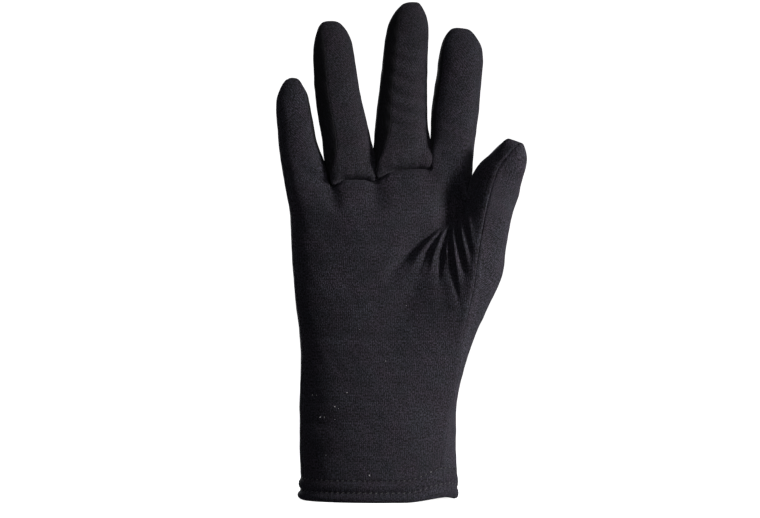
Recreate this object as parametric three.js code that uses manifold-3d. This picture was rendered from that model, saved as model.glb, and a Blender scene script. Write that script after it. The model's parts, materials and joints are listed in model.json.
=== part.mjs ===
import * as THREE from 'three';
import Module from 'manifold-3d';

// A right-hand glove liner of thin knit, standing in the form that a hand gives it, in millimetres.
// X runs to the thumb side, Y from the palm to the back of the hand, Z up to the fingertips.
// The origin is the middle of the wrist opening.

// Cloth
const CLOTH_WALL = 1.2;
const SEAM_GAP = 0.35;
const MITRE_LIMIT = 0.4;

// Cuff and hem
const CUFF_WIDTH = 77;
const CUFF_DEPTH = 40;
const HEM_HEIGHT = 12.3;
const HEM_WALL = 2.4;
const HEM_ROLL = 2;
const HEM_CORNER_LIFT = 1.4;
const HEM_CORNER_ANGLE = 38;
const HEM_CORNER_SHARPNESS = 8;
const HEM_LEFT_FULLNESS = 0.4;

// Sleeve and palm, from the hem to the row where the thumb leaves
const SLEEVE_LENGTH = 128;
const PALM_DEPTH = 30;
const THUMB_DROP = 4.5;
const WEB_RISE = 10.5;
const WEB_HOLLOW = 9;
const THUMB_FORWARD = 13;
const WEB_CHAIN_SAG = 1;

// Knuckles, from that row to the bases of the four fingers
const KNUCKLE_LENGTH = 13.8;
const KNUCKLE_BACK = 0.5;
const BACK_CROTCH_DROP = 1.5;
const BASE_SEAM_RISE = 2.4;
const CROTCH_CHAIN_SAG = 0.5;

// Gathers at the thumb's web
const GATHER_WIDTH = 4.8;
const GATHER_HEIGHT = 1.6;
const GATHER_STEPS = 8;
const GATHER_TANGENT_STEP = 0.05;
const GATHER_END = 0.25;
const GATHER_TAPER_POWER = 0.8;

// Fingers and thumb
const LITTLE_WIDTH = 23;
const LITTLE_LENGTH = 53.9;
const LITTLE_DEPTH = 18;
const RING_WIDTH = 21.7;
const RING_LENGTH = 80.5;
const RING_DEPTH = 20;
const MIDDLE_WIDTH = 27.2;
const MIDDLE_LENGTH = 84.5;
const MIDDLE_DEPTH = 21.5;
const INDEX_WIDTH = 20.3;
const INDEX_LENGTH = 70.1;
const INDEX_DEPTH = 21;
const THUMB_WIDTH = 24.7;
const THUMB_LENGTH = 37.5;
const THUMB_DEPTH = 22;

// Faces: steps across a finger's front, across the thumb's, round a side, and round the thumb's outside
const FRONT_STEPS = 5;
const THUMB_STEPS = 3;
const SIDE_STEPS = 4;
const OUTER_STEPS = 6;
const SLEEVE_STEPS = 18;
const KNUCKLE_STEPS = 2;
const CAP_STEPS = 3;

// Angles in degrees: lean of a digit's axis from upright, turn of its seams about that axis, half
// the angle that a side strip spans, how far the thumb's front seam stands from its outer edge, and
// tilt of the thumb's base.
// cap is the rounded tip's share of the length, tip the width of its seam as a share of the width,
// curl how far the tip bends to the palm side as a share of the length.
const SIDE_ANGLE = 35;
const THUMB_SEAM_ANGLE = 101;
const THUMB_TILT = 27;
const DIGIT_ROUNDNESS = 2.3;
const DIGIT_TURN_LENGTH = 0.25;
const BASE_BLEND_LENGTH = 0.3;
const DIGITS = {
  little: {
    width: LITTLE_WIDTH, length: LITTLE_LENGTH, depth: LITTLE_DEPTH,
    lean: -8.2, turn: 0, curl: 0.08, cap: 0.275, tip: 0.11, steps: 7,
    sections: {
      columns: ['at', 'shift', 'wide', 'deep', 'tilt'],
      rows: [
        [0, 0, 1, 1, 0],
        [0.25, -0.045, 0.93, 0.98, 0],
        [0.39, -0.087, 0.839, 0.95, 0],
        [0.62, -0.087, 0.774, 0.9, 0],
        [0.76, -0.081, 0.731, 0.86, 0],
        [1, 0, 0.7, 0.8, 0],
      ],
    },
  },
  ring: {
    width: RING_WIDTH, length: RING_LENGTH, depth: RING_DEPTH,
    lean: -7.7, turn: 36, curl: 0.06, cap: 0.172, tip: 0.22, steps: 9,
    sections: {
      columns: ['at', 'shift', 'wide', 'deep', 'tilt'],
      rows: [
        [0, 0, 1, 1, 0],
        [0.2, -0.02, 1.11, 1, 0],
        [0.39, -0.057, 1.09, 0.97, 0],
        [0.58, -0.084, 1.02, 0.93, 0],
        [0.78, -0.064, 0.955, 0.88, 0],
        [1, 0, 0.9, 0.8, 0],
      ],
    },
  },
  middle: {
    width: MIDDLE_WIDTH, length: MIDDLE_LENGTH, depth: MIDDLE_DEPTH,
    lean: 2.7, turn: 33, curl: 0.05, cap: 0.146, tip: 0.16, steps: 9,
    sections: {
      columns: ['at', 'shift', 'wide', 'deep', 'tilt'],
      rows: [
        [0, 0, 1, 1, 0],
        [0.14, -0.042, 0.99, 1, 0],
        [0.32, -0.069, 0.94, 0.97, 0],
        [0.5, -0.082, 0.873, 0.92, 0],
        [0.74, -0.053, 0.818, 0.86, 0],
        [0.88, -0.036, 0.745, 0.82, 0],
        [1, 0, 0.72, 0.8, 0],
      ],
    },
  },
  index: {
    width: INDEX_WIDTH, length: INDEX_LENGTH, depth: INDEX_DEPTH,
    lean: 3.6, turn: 8, curl: 0.06, cap: 0.197, tip: 0.24, steps: 8,
    sections: {
      columns: ['at', 'shift', 'wide', 'deep', 'tilt'],
      rows: [
        [0, 0, 1, 1, 0],
        [0.18, -0.01, 1.07, 0.98, 0],
        [0.41, 0, 1.16, 0.95, 0],
        [0.58, 0.03, 1.12, 0.91, 0],
        [0.75, 0.056, 1.1, 0.88, 0],
        [1, 0, 1, 0.82, 0],
      ],
    },
  },
  thumb: {
    width: THUMB_WIDTH, length: THUMB_LENGTH, depth: THUMB_DEPTH,
    lean: 19.6, turn: 0, curl: 0.3, cap: 0.3, tip: 0.2, steps: 5, seam: THUMB_SEAM_ANGLE,
    sections: {
      columns: ['at', 'shift', 'wide', 'deep', 'tilt'],
      rows: [
        [0, 0, 1, 1, 27],
        [0.31, -0.028, 1.02, 0.98, 25],
        [0.57, -0.033, 0.88, 0.92, 24],
        [0.77, 0.02, 0.7, 0.85, 22],
        [1, 0, 0.6, 0.75, 20],
      ],
    },
  },
};
const FINGERS = ['little', 'ring', 'middle', 'index'];

// Rows of the sleeve. up: share of the sleeve's length. left, right: how far each edge has moved
// from the cuff's to the thumb row's. web: the column under the web, as a share of its place there.
// seam: the thumb-side seam, as a share from that column to the edge. deep: share of the way from
// the cuff's depth to the palm's. round: exponent of the section. thumb, hollow, rise: shares of
// THUMB_FORWARD, WEB_HOLLOW and WEB_RISE.
const SLEEVE = {
  columns: ['up', 'left', 'right', 'web', 'seam', 'deep', 'round', 'thumb', 'hollow', 'rise'],
  rows: [
    [0, -0.04, 0.01, 0.98, 0.5, 0, 2.15, 0, 0, 0],
    [0.13, 0.06, -0.01, 1, 0.585, 0.05, 2.15, 0, 0, 0],
    [0.29, 0.06, 0.01, 1.04, 0.69, 0.15, 2.2, 0.03, 0, 0],
    [0.44, -0.04, 0.155, 1.03, 0.67, 0.3, 2.25, 0.15, 0, 0],
    [0.56, 0.15, 0.35, 1, 0.575, 0.5, 2.3, 0.35, 0, 0],
    [0.67, 0.52, 0.58, 0.98, 0.495, 0.65, 2.35, 0.6, 0.03, 0.03],
    [0.78, 0.71, 0.8, 0.98, 0.41, 0.8, 2.4, 0.8, 0.15, 0.15],
    [0.89, 0.88, 0.885, 0.99, 0.38, 0.92, 2.45, 0.95, 0.5, 0.5],
    [1, 1, 1, 1, 0.385, 1, 2.5, 1, 1, 1],
  ],
};
const LEFT_SEAM_SHARE = 0.02;

// The thumb row's left end and the web, as shares of the four fingers' width from the middle, the
// bulge of the knuckles' outer edges as a share of the little finger's width, and how far the web
// acts to its left as a share of the thumb row.
const THUMB_ROW_LEFT_SHARE = -0.475;
const WEB_X_SHARE = 0.469;
const EDGE_BULGE_SHARE = 0.12;
const WEB_REACH_LEFT = 0.35;

// Heights of the finger bases over the little finger's edge, as shares of KNUCKLE_LENGTH
const CROTCH_RISES = [0, 0, 0.25, 0.68, 0.53];

// A finger base's depth at its outer edge and at a crotch, as shares of the finger's depth, and the
// exponents that shape its arch and the arch of its base seam
const EDGE_DEPTH_SHARE = 0.62;
const CROTCH_DEPTH_SHARE = 0.7;
const BASE_ARCH_POWER = 0.7;
const SEAM_ARCH_POWER = 0.6;
const SAME_PLACE = 1e-9;

// The hem's outer face from its lower edge up. up: share of HEM_HEIGHT. out: share of HEM_ROLL.
const HEM_PROFILE = {
  columns: ['up', 'out'],
  rows: [
    [0, -0.35],
    [0.05, 0.45],
    [0.16, 1],
    [0.29, 0.8],
    [0.39, 0.2],
    [0.5, 0.6],
    [0.72, 0.75],
    [0.9, 0.45],
    [1, 0],
  ],
};
const HEM_INNER_ROWS = [1, 0.5, 0.04];

// The section of a gather's ridge, from its sunk left corner round. across: share of its width.
// out: share of its height.
const GATHER_SECTION = {
  columns: ['across', 'out'],
  rows: [
    [-0.5, -0.5],
    [0.5, -0.5],
    [0.5, 0],
    [0.22, 0.8],
    [-0.22, 0.8],
    [-0.5, 0],
  ],
};

// Ridges of the gathers, from the web down over the palm. upA, acrossA, upB, acrossB: ends as
// shares of the sleeve's length and width. wide, high: shares of GATHER_WIDTH and GATHER_HEIGHT.
const GATHERS = {
  columns: ['upA', 'acrossA', 'upB', 'acrossB', 'wide', 'high'],
  rows: [
    [0.965, 0.7, 0.8, 0.5, 1.3, 0.8],
    [0.95, 0.715, 0.79, 0.6, 1, 1],
    [0.95, 0.735, 0.8, 0.68, 0.9, 0.9],
    [0.95, 0.76, 0.72, 0.76, 0.8, 1.1],
    [0.97, 0.785, 0.78, 0.815, 1, 1],
  ],
};

const radians = THREE.MathUtils.degToRad;
const lerp = THREE.MathUtils.lerp;
const smooth = (value) => THREE.MathUtils.smoothstep(value, 0, 1);

// Reads a table at a place between its rows, along a curve through them, and names what it finds.
function sample(table, at) {
  const { columns, rows } = table;
  let k = 0;
  while (k < rows.length - 2 && at > rows[k + 1][0]) k += 1;
  const before = rows[Math.max(k - 1, 0)];
  const from = rows[k];
  const to = rows[k + 1];
  const after = rows[Math.min(k + 2, rows.length - 1)];
  const step = to[0] - from[0];
  const t = (at - from[0]) / step;
  const found = {};
  columns.forEach((name, c) => {
    const slopeFrom = ((to[c] - before[c]) / (to[0] - before[0])) * step;
    const slopeTo = ((after[c] - from[c]) / (after[0] - from[0])) * step;
    found[name] =
      from[c] * (2 * t ** 3 - 3 * t ** 2 + 1) +
      slopeFrom * (t ** 3 - 2 * t ** 2 + t) +
      to[c] * (3 * t ** 2 - 2 * t ** 3) +
      slopeTo * (t ** 3 - t ** 2);
  });
  return found;
}

// Places that follow from the sizes
const FINGERS_WIDTH = FINGERS.reduce((sum, name) => sum + DIGITS[name].width, 0);
const CROTCH_SHARES = [0];
for (const name of FINGERS) {
  CROTCH_SHARES.push(CROTCH_SHARES.at(-1) + DIGITS[name].width / FINGERS_WIDTH);
}
const THUMB_ROW_LEFT = THUMB_ROW_LEFT_SHARE * FINGERS_WIDTH;
const WEB_X = WEB_X_SHARE * FINGERS_WIDTH;
const THUMB_ROW_RIGHT = WEB_X + THUMB_WIDTH * Math.cos(radians(THUMB_TILT));
const WEB_SHARE = (WEB_X - THUMB_ROW_LEFT) / (THUMB_ROW_RIGHT - THUMB_ROW_LEFT);
const THUMB_ROW_HEIGHT = HEM_HEIGHT + SLEEVE_LENGTH;
const KNUCKLE_HEIGHT = THUMB_ROW_HEIGHT + KNUCKLE_LENGTH;
const EDGE_BULGE = EDGE_BULGE_SHARE * LITTLE_WIDTH;

// A superellipse's two coordinates at an angle, each from -1 to 1
function roundedSquare(angle, exponent) {
  const bend = (value) => Math.sign(value) * Math.abs(value) ** (2 / exponent);
  return [bend(Math.cos(angle)), bend(Math.sin(angle))];
}

// The angle, on the palm side, of the point that lies at a share of the width
function angleAcross(share, exponent) {
  const x = 2 * share - 1;
  return -Math.acos(Math.sign(x) * Math.abs(x) ** (exponent / 2));
}

// How strongly the web acts at a share of the width
function webPull(share) {
  const reach = share < WEB_SHARE ? WEB_REACH_LEFT : 1 - WEB_SHARE;
  const away = Math.min(Math.abs(share - WEB_SHARE) / reach, 1);
  return Math.cos((away * Math.PI) / 2) ** 2;
}

// A point of the sleeve's outer face at a row and an angle round it
function sleevePoint(row, angle) {
  const [x, y] = roundedSquare(angle, row.round);
  const share = (1 + x) / 2;
  const left = lerp(-CUFF_WIDTH / 2, THUMB_ROW_LEFT, row.left);
  const right = lerp(CUFF_WIDTH / 2, THUMB_ROW_RIGHT, row.right);
  const depth = lerp(CUFF_DEPTH, PALM_DEPTH, row.deep) / 2;
  const pull = webPull(share);
  const forward = THUMB_FORWARD * row.thumb * smooth((share - 0.5) / 0.5);
  const height = HEM_HEIGHT + (SLEEVE_LENGTH - THUMB_DROP * share) * row.up;
  return new THREE.Vector3(
    lerp(left, right, share),
    depth * y - forward - WEB_HOLLOW * row.hollow * pull * Math.min(y, 0),
    height + WEB_RISE * row.rise * pull,
  );
}

// Shares of the width where the palm's columns stand, from the little finger's edge to the web
function palmShares() {
  const shares = [];
  for (let finger = 0; finger < FINGERS.length; finger += 1) {
    for (let step = 0; step < FRONT_STEPS; step += 1) {
      shares.push(lerp(CROTCH_SHARES[finger], CROTCH_SHARES[finger + 1], step / FRONT_STEPS));
    }
  }
  shares.push(1);
  return shares;
}

// Values from one to another, in equal steps
function spread(from, to, steps) {
  return Array.from({ length: steps + 1 }, (_, k) => lerp(from, to, k / steps));
}

// Angles between two angles, without the two
function anglesBetween(from, to, steps) {
  return spread(from, to, steps).slice(1, -1);
}

// The angles of a row of the sleeve: palm side left to right, thumb side, back, little finger side
function sleeveAngles(row) {
  const web = WEB_SHARE * row.web;
  const seam = lerp(web, 1, row.seam);
  const shares = palmShares().map((share) => lerp(LEFT_SEAM_SHARE, web, share));
  for (let step = 1; step <= THUMB_STEPS; step += 1) {
    shares.push(lerp(web, seam, step / THUMB_STEPS));
  }
  const front = shares.map((share) => angleAcross(share, row.round));
  const back = front.map((angle) => -angle).reverse();
  const outer = anglesBetween(front.at(-1), back[0], OUTER_STEPS);
  const inner = anglesBetween(back.at(-1), front[0] + 2 * Math.PI, SIDE_STEPS);
  return { front, outer, back, inner };
}

// The glove's outer face: its points, and its faces with the panel that each belongs to
const points = [];
const faces = [];

function addPoint(point) {
  points.push(point);
  return points.length - 1;
}

function addFace(corners, panel) {
  const kept = corners.filter((corner, k) => corner !== corners[(k + 1) % corners.length]);
  if (kept.length > 2) faces.push({ corners: kept, panel });
}

// Fills the strip between two closed rings of points; panels names the panel of each step
function addStrip(lower, upper, panels) {
  lower.forEach((corner, k) => {
    const next = (k + 1) % lower.length;
    addFace([corner, lower[next], upper[next], upper[k]], panels[k]);
  });
}

const repeat = (value, times) => Array.from({ length: times }, () => value);

// A closed ring from its four stretches; side stretches hold only the points between the others
function ringOf({ front, right, back, left }) {
  return [...front, ...right, ...back, ...left];
}

const PALM = 'palm_panel';
const BACK = 'back_panel';

// Names the panel of each step round a ring
function ringPanels(front, right, back, left) {
  return [...front, ...right, ...back, ...left];
}

// The sleeve, from the hem to the thumb row. It returns the stretches of its last row.
function addSleeve() {
  const frontSteps = FINGERS.length * FRONT_STEPS + THUMB_STEPS;
  const panels = ringPanels(
    repeat(PALM, frontSteps),
    repeat(BACK, OUTER_STEPS),
    repeat(BACK, frontSteps),
    repeat(BACK, SIDE_STEPS),
  );
  let stretches = null;
  for (let step = 0; step <= SLEEVE_STEPS; step += 1) {
    const row = sample(SLEEVE, step / SLEEVE_STEPS);
    const angles = sleeveAngles(row);
    const place = (list) => list.map((angle) => addPoint(sleevePoint(row, angle)));
    const next = {
      front: place(angles.front),
      right: place(angles.outer),
      back: place(angles.back),
      left: place(angles.inner),
    };
    if (stretches) addStrip(ringOf(stretches), ringOf(next), panels);
    stretches = next;
  }
  return stretches;
}

// Points between a front and a back point, sagging a little in the middle
function addChain(frontId, backId, sag) {
  const from = points[frontId];
  const to = points[backId];
  return anglesBetween(0, 1, SIDE_STEPS).map((share) => {
    const point = from.clone().lerp(to, share);
    point.z -= sag * Math.sin(Math.PI * share);
    return addPoint(point);
  });
}

// The row where the four fingers start: each finger's stretch bulges, and the crotches lie between.
function knuckleRim() {
  const rimPoint = (share, side) => {
    let finger = 0;
    while (finger < FINGERS.length - 1 && share > CROTCH_SHARES[finger + 1] + SAME_PLACE) finger += 1;
    const from = CROTCH_SHARES[finger];
    const along = (share - from) / (CROTCH_SHARES[finger + 1] - from);
    const arch = Math.max(Math.sin(Math.PI * along), 0);
    const edge = (finger === 0 && along < 0.5) || (finger === 3 && along > 0.5);
    const crotchDepth = edge ? EDGE_DEPTH_SHARE : CROTCH_DEPTH_SHARE;
    const depth = (DIGITS[FINGERS[finger]].depth / 2) * lerp(crotchDepth, 1, arch ** BASE_ARCH_POWER);
    const rise = lerp(CROTCH_RISES[finger], CROTCH_RISES[finger + 1], along) * KNUCKLE_LENGTH;
    const seamArch = Math.max(Math.sin(Math.PI * along ** SEAM_ARCH_POWER), 0);
    const lift = side > 0 ? -BACK_CROTCH_DROP : BASE_SEAM_RISE * seamArch;
    const inset = EDGE_BULGE * (Number(share === 0) - Number(share === 1));
    return new THREE.Vector3(
      FINGERS_WIDTH * (share - 0.5) + inset,
      KNUCKLE_BACK + side * depth,
      KNUCKLE_HEIGHT + rise + lift,
    );
  };
  const shares = palmShares();
  return {
    front: shares.map((share) => rimPoint(share, -1)),
    back: shares.map((share) => rimPoint(share, 1)).reverse(),
  };
}

// Points round an outer edge of the knuckle rim, bulging sideways from the front to the back point
function edgeBulge(from, to, out) {
  return anglesBetween(0, 1, SIDE_STEPS).map((share) => {
    const point = from.clone().lerp(to, share);
    point.x += out * Math.sin(Math.PI * share);
    return point;
  });
}

// The knuckles: from the thumb row, left of the web, to the finger bases
function addKnuckles(thumbRow, webChain) {
  const columns = FINGERS.length * FRONT_STEPS;
  const rim = knuckleRim();
  rim.right = edgeBulge(rim.front.at(-1), rim.back[0], EDGE_BULGE);
  rim.left = edgeBulge(rim.back.at(-1), rim.front[0], -EDGE_BULGE);
  const start = {
    front: thumbRow.front.slice(0, columns + 1),
    right: webChain,
    back: thumbRow.back.slice(THUMB_STEPS),
    left: thumbRow.left,
  };
  const panels = ringPanels(
    repeat(PALM, columns),
    repeat(PALM, SIDE_STEPS),
    repeat(BACK, columns),
    repeat(BACK, SIDE_STEPS),
  );
  let stretches = start;
  for (let step = 1; step <= KNUCKLE_STEPS; step += 1) {
    const share = step / KNUCKLE_STEPS;
    const next = {};
    for (const name of ['front', 'right', 'back', 'left']) {
      next[name] = start[name].map((id, k) =>
        addPoint(points[id].clone().lerp(rim[name][k], share)),
      );
    }
    addStrip(ringOf(stretches), ringOf(next), panels);
    stretches = next;
  }
  return stretches;
}

// A digit's section: the point at a share of its length and an angle round it. tipShare, from -1
// to 1, is where that point ends on the tip's seam.
function digitPoint(digit, base, at, { angle, tipShare }) {
  const body = sample(digit.sections, at);
  const rise = Math.max((at - 1 + digit.cap) / digit.cap, 0);
  const shrink = Math.sqrt(Math.max(1 - rise * rise, 0));
  const turned = angle + radians(digit.turn) * shrink * smooth(at / DIGIT_TURN_LENGTH);
  const [x, y] = roundedSquare(turned, DIGIT_ROUNDNESS);
  const halfTip = (digit.tip * digit.width) / 2;
  const half = lerp(halfTip, (body.wide * digit.width) / 2 - SEAM_GAP / 2, shrink);
  const across = body.shift * digit.width + half * lerp(tipShare, x, shrink);
  const along = at * digit.length;
  const lean = radians(digit.lean);
  const tilt = radians(body.tilt);
  return new THREE.Vector3(
    base.x + along * Math.sin(lean) + across * Math.cos(tilt),
    base.y + (body.deep * digit.depth * y * shrink) / 2 - digit.curl * digit.length * at * at,
    base.z + along * Math.cos(lean) - across * Math.sin(tilt),
  );
}

// A digit from its base ring to its tip seam; panels names the panel of each of the four stretches
function addDigit(digit, base, centre, panels) {
  const side = radians(SIDE_ANGLE);
  const seam = radians(digit.seam ?? SIDE_ANGLE);
  const steps = {
    front: base.front.length - 1,
    right: base.right.length + 1,
    back: base.back.length - 1,
    left: base.left.length + 1,
  };
  const withTip = (angles, from, to) =>
    angles.map((angle, k) => ({ angle, tipShare: lerp(from, to, k / Math.max(angles.length - 1, 1)) }));
  const columns = {
    front: withTip(spread(side - Math.PI, -seam, steps.front), -1, 1),
    right: withTip(anglesBetween(-seam, side, steps.right), 1, 1),
    back: withTip(spread(side, Math.PI - side, steps.back), 1, -1),
    left: withTip(anglesBetween(Math.PI - side, Math.PI + side, steps.left), -1, -1),
  };
  const names = Object.keys(columns);
  const stepPanels = ringPanels(...names.map((name) => repeat(panels[name], steps[name])));
  const heights = spread(0, 1 - digit.cap, digit.steps).slice(1);
  for (let k = 1; k <= CAP_STEPS; k += 1) {
    heights.push(1 - digit.cap + digit.cap * Math.sin((k / CAP_STEPS) * (Math.PI / 2)));
  }
  let stretches = base;
  heights.forEach((at, k) => {
    const next = {};
    const last = k === heights.length - 1;
    const keep = 1 - smooth(at / BASE_BLEND_LENGTH);
    for (const name of names) {
      next[name] = columns[name].map((column, j) => {
        const point = digitPoint(digit, centre, at, column);
        const offset = points[base[name][j]].clone().sub(digitPoint(digit, centre, 0, column));
        return point.addScaledVector(offset, keep);
      });
    }
    if (last) {
      const line = next.front.map((point) => addPoint(point));
      next.front = line;
      next.back = line.slice().reverse();
      next.right = repeat(line.at(-1), steps.right - 1);
      next.left = repeat(line[0], steps.left - 1);
    } else {
      for (const name of names) next[name] = next[name].map((point) => addPoint(point));
    }
    addStrip(ringOf(stretches), ringOf(next), stepPanels);
    stretches = next;
  });
}

function buildOuterFace() {
  const thumbRow = addSleeve();
  const columns = FINGERS.length * FRONT_STEPS;
  const webFront = thumbRow.front[columns];
  const webBack = thumbRow.back[THUMB_STEPS];
  const webChain = addChain(webFront, webBack, WEB_CHAIN_SAG);
  const rim = addKnuckles(thumbRow, webChain);

  const crotchChains = [rim.left.slice().reverse()];
  for (let k = 1; k < FINGERS.length; k += 1) {
    const frontId = rim.front[k * FRONT_STEPS];
    const backId = rim.back[columns - k * FRONT_STEPS];
    crotchChains.push(addChain(frontId, backId, CROTCH_CHAIN_SAG));
  }
  crotchChains.push(rim.right);

  const fourchettes = ['little_ring_fourchette', 'ring_middle_fourchette', 'middle_index_fourchette'];
  const leftPanels = [BACK, ...fourchettes];
  const rightPanels = [...fourchettes, PALM];
  const frontPanels = [PALM, 'ring_finger_front', 'middle_finger_front', PALM];
  FINGERS.forEach((name, k) => {
    const base = {
      front: rim.front.slice(k * FRONT_STEPS, (k + 1) * FRONT_STEPS + 1),
      right: crotchChains[k + 1],
      back: rim.back.slice(columns - (k + 1) * FRONT_STEPS, columns - k * FRONT_STEPS + 1),
      left: crotchChains[k].slice().reverse(),
    };
    const panels = { front: frontPanels[k], right: rightPanels[k], back: BACK, left: leftPanels[k] };
    const centre = new THREE.Vector3(
      (FINGERS_WIDTH * (CROTCH_SHARES[k] + CROTCH_SHARES[k + 1] - 1)) / 2,
      KNUCKLE_BACK,
      KNUCKLE_HEIGHT + (KNUCKLE_LENGTH * (CROTCH_RISES[k] + CROTCH_RISES[k + 1])) / 2,
    );
    addDigit(DIGITS[name], base, centre, panels);
  });

  const thumbBase = {
    front: thumbRow.front.slice(columns),
    right: thumbRow.right,
    back: thumbRow.back.slice(0, THUMB_STEPS + 1),
    left: webChain.slice().reverse(),
  };
  const thumbCentre = new THREE.Vector3(
    (WEB_X + THUMB_ROW_RIGHT) / 2,
    (points[thumbBase.front[1]].y + points[thumbBase.back[2]].y) / 2,
    THUMB_ROW_HEIGHT + (WEB_RISE - THUMB_DROP * (1 + WEB_SHARE)) / 2,
  );
  const thumbPanels = { front: PALM, right: BACK, back: BACK, left: PALM };
  addDigit(DIGITS.thumb, thumbBase, thumbCentre, thumbPanels);
}

// A face's outward direction, as long as the face is large
function faceNormal(corners) {
  const [a, b, c] = corners.map((id) => points[id]);
  const last = points[corners.at(-1)];
  const diagonal = c.clone().sub(a);
  return corners.length > 3
    ? diagonal.cross(last.clone().sub(b))
    : b.clone().sub(a).cross(diagonal);
}

// Outward direction at each point, from the faces round it
function pointNormals() {
  const normals = points.map(() => new THREE.Vector3());
  for (const { corners } of faces) {
    const normal = faceNormal(corners);
    corners.forEach((id) => normals[id].add(normal));
  }
  normals.forEach((normal) => normal.normalize());
  return normals;
}

// A panel's closed solid: its faces, drawn in from the seams and thickened to the inside
function panelSolid(panel, normals) {
  const own = faces.filter((face) => face.panel === panel);
  const edges = new Map();
  for (const { corners } of own) {
    const out = faceNormal(corners);
    corners.forEach((from, k) => {
      const to = corners[(k + 1) % corners.length];
      const along = points[to].clone().sub(points[from]);
      edges.set(`${from} ${to}`, { from, to, inward: out.clone().cross(along).normalize() });
    });
  }
  const open = [...edges.values()].filter(({ from, to }) => !edges.has(`${to} ${from}`));
  const seamPulls = new Map();
  for (const { from, to, inward } of open) {
    for (const id of [from, to]) {
      if (!seamPulls.has(id)) seamPulls.set(id, []);
      seamPulls.get(id).push(inward);
    }
  }
  const position = [];
  const outer = new Map();
  for (const id of new Set(own.flatMap((face) => face.corners))) {
    const normal = normals[id];
    const place = points[id].clone();
    if (seamPulls.has(id)) {
      const [first, second] = seamPulls.get(id);
      const pull = first.clone().add(second);
      place.addScaledVector(pull, SEAM_GAP / 2 / Math.max(pull.dot(first), MITRE_LIMIT));
    }
    outer.set(id, position.length / 3);
    position.push(...place.toArray());
    position.push(...place.addScaledVector(normal, -CLOTH_WALL).toArray());
  }
  const index = [];
  for (const { corners } of own) {
    for (let k = 1; k + 1 < corners.length; k += 1) {
      const [a, b, c] = [corners[0], corners[k], corners[k + 1]].map((id) => outer.get(id));
      index.push(a, b, c, a + 1, c + 1, b + 1);
    }
  }
  // Both panels of a seam split its twisted wall along the same diagonal, so they stay apart.
  for (const { from, to } of open) {
    const a = outer.get(from);
    const b = outer.get(to);
    if (from < to) index.push(b, a, a + 1, b, a + 1, b + 1);
    else index.push(b, a, b + 1, a, a + 1, b + 1);
  }
  return { position, index };
}

// The folded hem: a closed ring below the sleeve, with a roll over each row of stitches
function hemSolid() {
  const row = sample(SLEEVE, 0);
  const angles = Object.values(sleeveAngles(row)).flat();
  const ring = angles.map((angle) => sleevePoint(row, angle));
  const outward = ring.map((point, k) => {
    const next = ring[(k + 1) % ring.length];
    const last = ring[(k + ring.length - 1) % ring.length];
    return new THREE.Vector3(next.y - last.y, last.x - next.x, 0).normalize();
  });
  const height = HEM_HEIGHT - SEAM_GAP / 2;
  const profile = HEM_PROFILE.rows.map(([up, out]) => ({ up, out: out * HEM_ROLL }));
  HEM_INNER_ROWS.forEach((up) => profile.push({ up, out: -HEM_WALL }));
  const position = [];
  const index = [];
  ring.forEach((point, k) => {
    const leftness = 1 - (HEM_LEFT_FULLNESS * point.x) / (CUFF_WIDTH / 2);
    const cornerFacing = Math.max(Math.cos(angles[k] + radians(HEM_CORNER_ANGLE)), 0);
    const corner = cornerFacing ** HEM_CORNER_SHARPNESS;
    for (const { up, out } of profile) {
      const roll = out > 0 ? out * leftness : out;
      const place = point.clone().addScaledVector(outward[k], roll);
      place.z = height * up + HEM_CORNER_LIFT * corner * (1 - up);
      position.push(...place.toArray());
    }
  });
  const rows = profile.length;
  for (let k = 0; k < ring.length; k += 1) {
    const here = k * rows;
    const next = ((k + 1) % ring.length) * rows;
    for (let j = 0; j < rows; j += 1) {
      const above = (j + 1) % rows;
      index.push(here + j, next + j, next + above, here + j, next + above, here + above);
    }
  }
  return { position, index };
}

// One gather: a tapered ridge half sunk in the palm's outer face
function gatherSolid(gather) {
  const place = (share) => {
    const row = sample(SLEEVE, lerp(gather.upA, gather.upB, share));
    return sleevePoint(row, angleAcross(lerp(gather.acrossA, gather.acrossB, share), row.round));
  };
  const position = [];
  const index = [];
  for (let step = 0; step <= GATHER_STEPS; step += 1) {
    const share = step / GATHER_STEPS;
    const centre = place(share);
    const ahead = place(Math.min(share + GATHER_TANGENT_STEP, 1));
    const along = ahead.sub(place(Math.max(share - GATHER_TANGENT_STEP, 0))).normalize();
    const out = new THREE.Vector3(0, -1, 0).addScaledVector(along, along.y).normalize();
    const across = new THREE.Vector3().crossVectors(along, out);
    const taper = lerp(GATHER_END, 1, Math.max(Math.sin(Math.PI * share), 0) ** GATHER_TAPER_POWER);
    for (const [x, y] of GATHER_SECTION.rows) {
      const point = centre.clone();
      point.addScaledVector(across, x * gather.wide * GATHER_WIDTH * taper);
      point.addScaledVector(out, y * gather.high * GATHER_HEIGHT * taper);
      position.push(...point.toArray());
    }
  }
  const sides = GATHER_SECTION.rows.length;
  for (let step = 0; step < GATHER_STEPS; step += 1) {
    for (let j = 0; j < sides; j += 1) {
      const a = step * sides + j;
      const b = step * sides + ((j + 1) % sides);
      index.push(a, a + sides, b + sides, a, b + sides, b);
    }
  }
  for (let j = 1; j + 1 < sides; j += 1) {
    const end = GATHER_STEPS * sides;
    index.push(0, j, j + 1, end, end + j + 1, end + j);
  }
  return { position, index };
}

const wasm = await Module();
wasm.setup();

function toManifold({ position, index }) {
  const mesh = new wasm.Mesh({
    numProp: 3,
    vertProperties: new Float32Array(position),
    triVerts: new Uint32Array(index),
  });
  return new wasm.Manifold(mesh);
}

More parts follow.
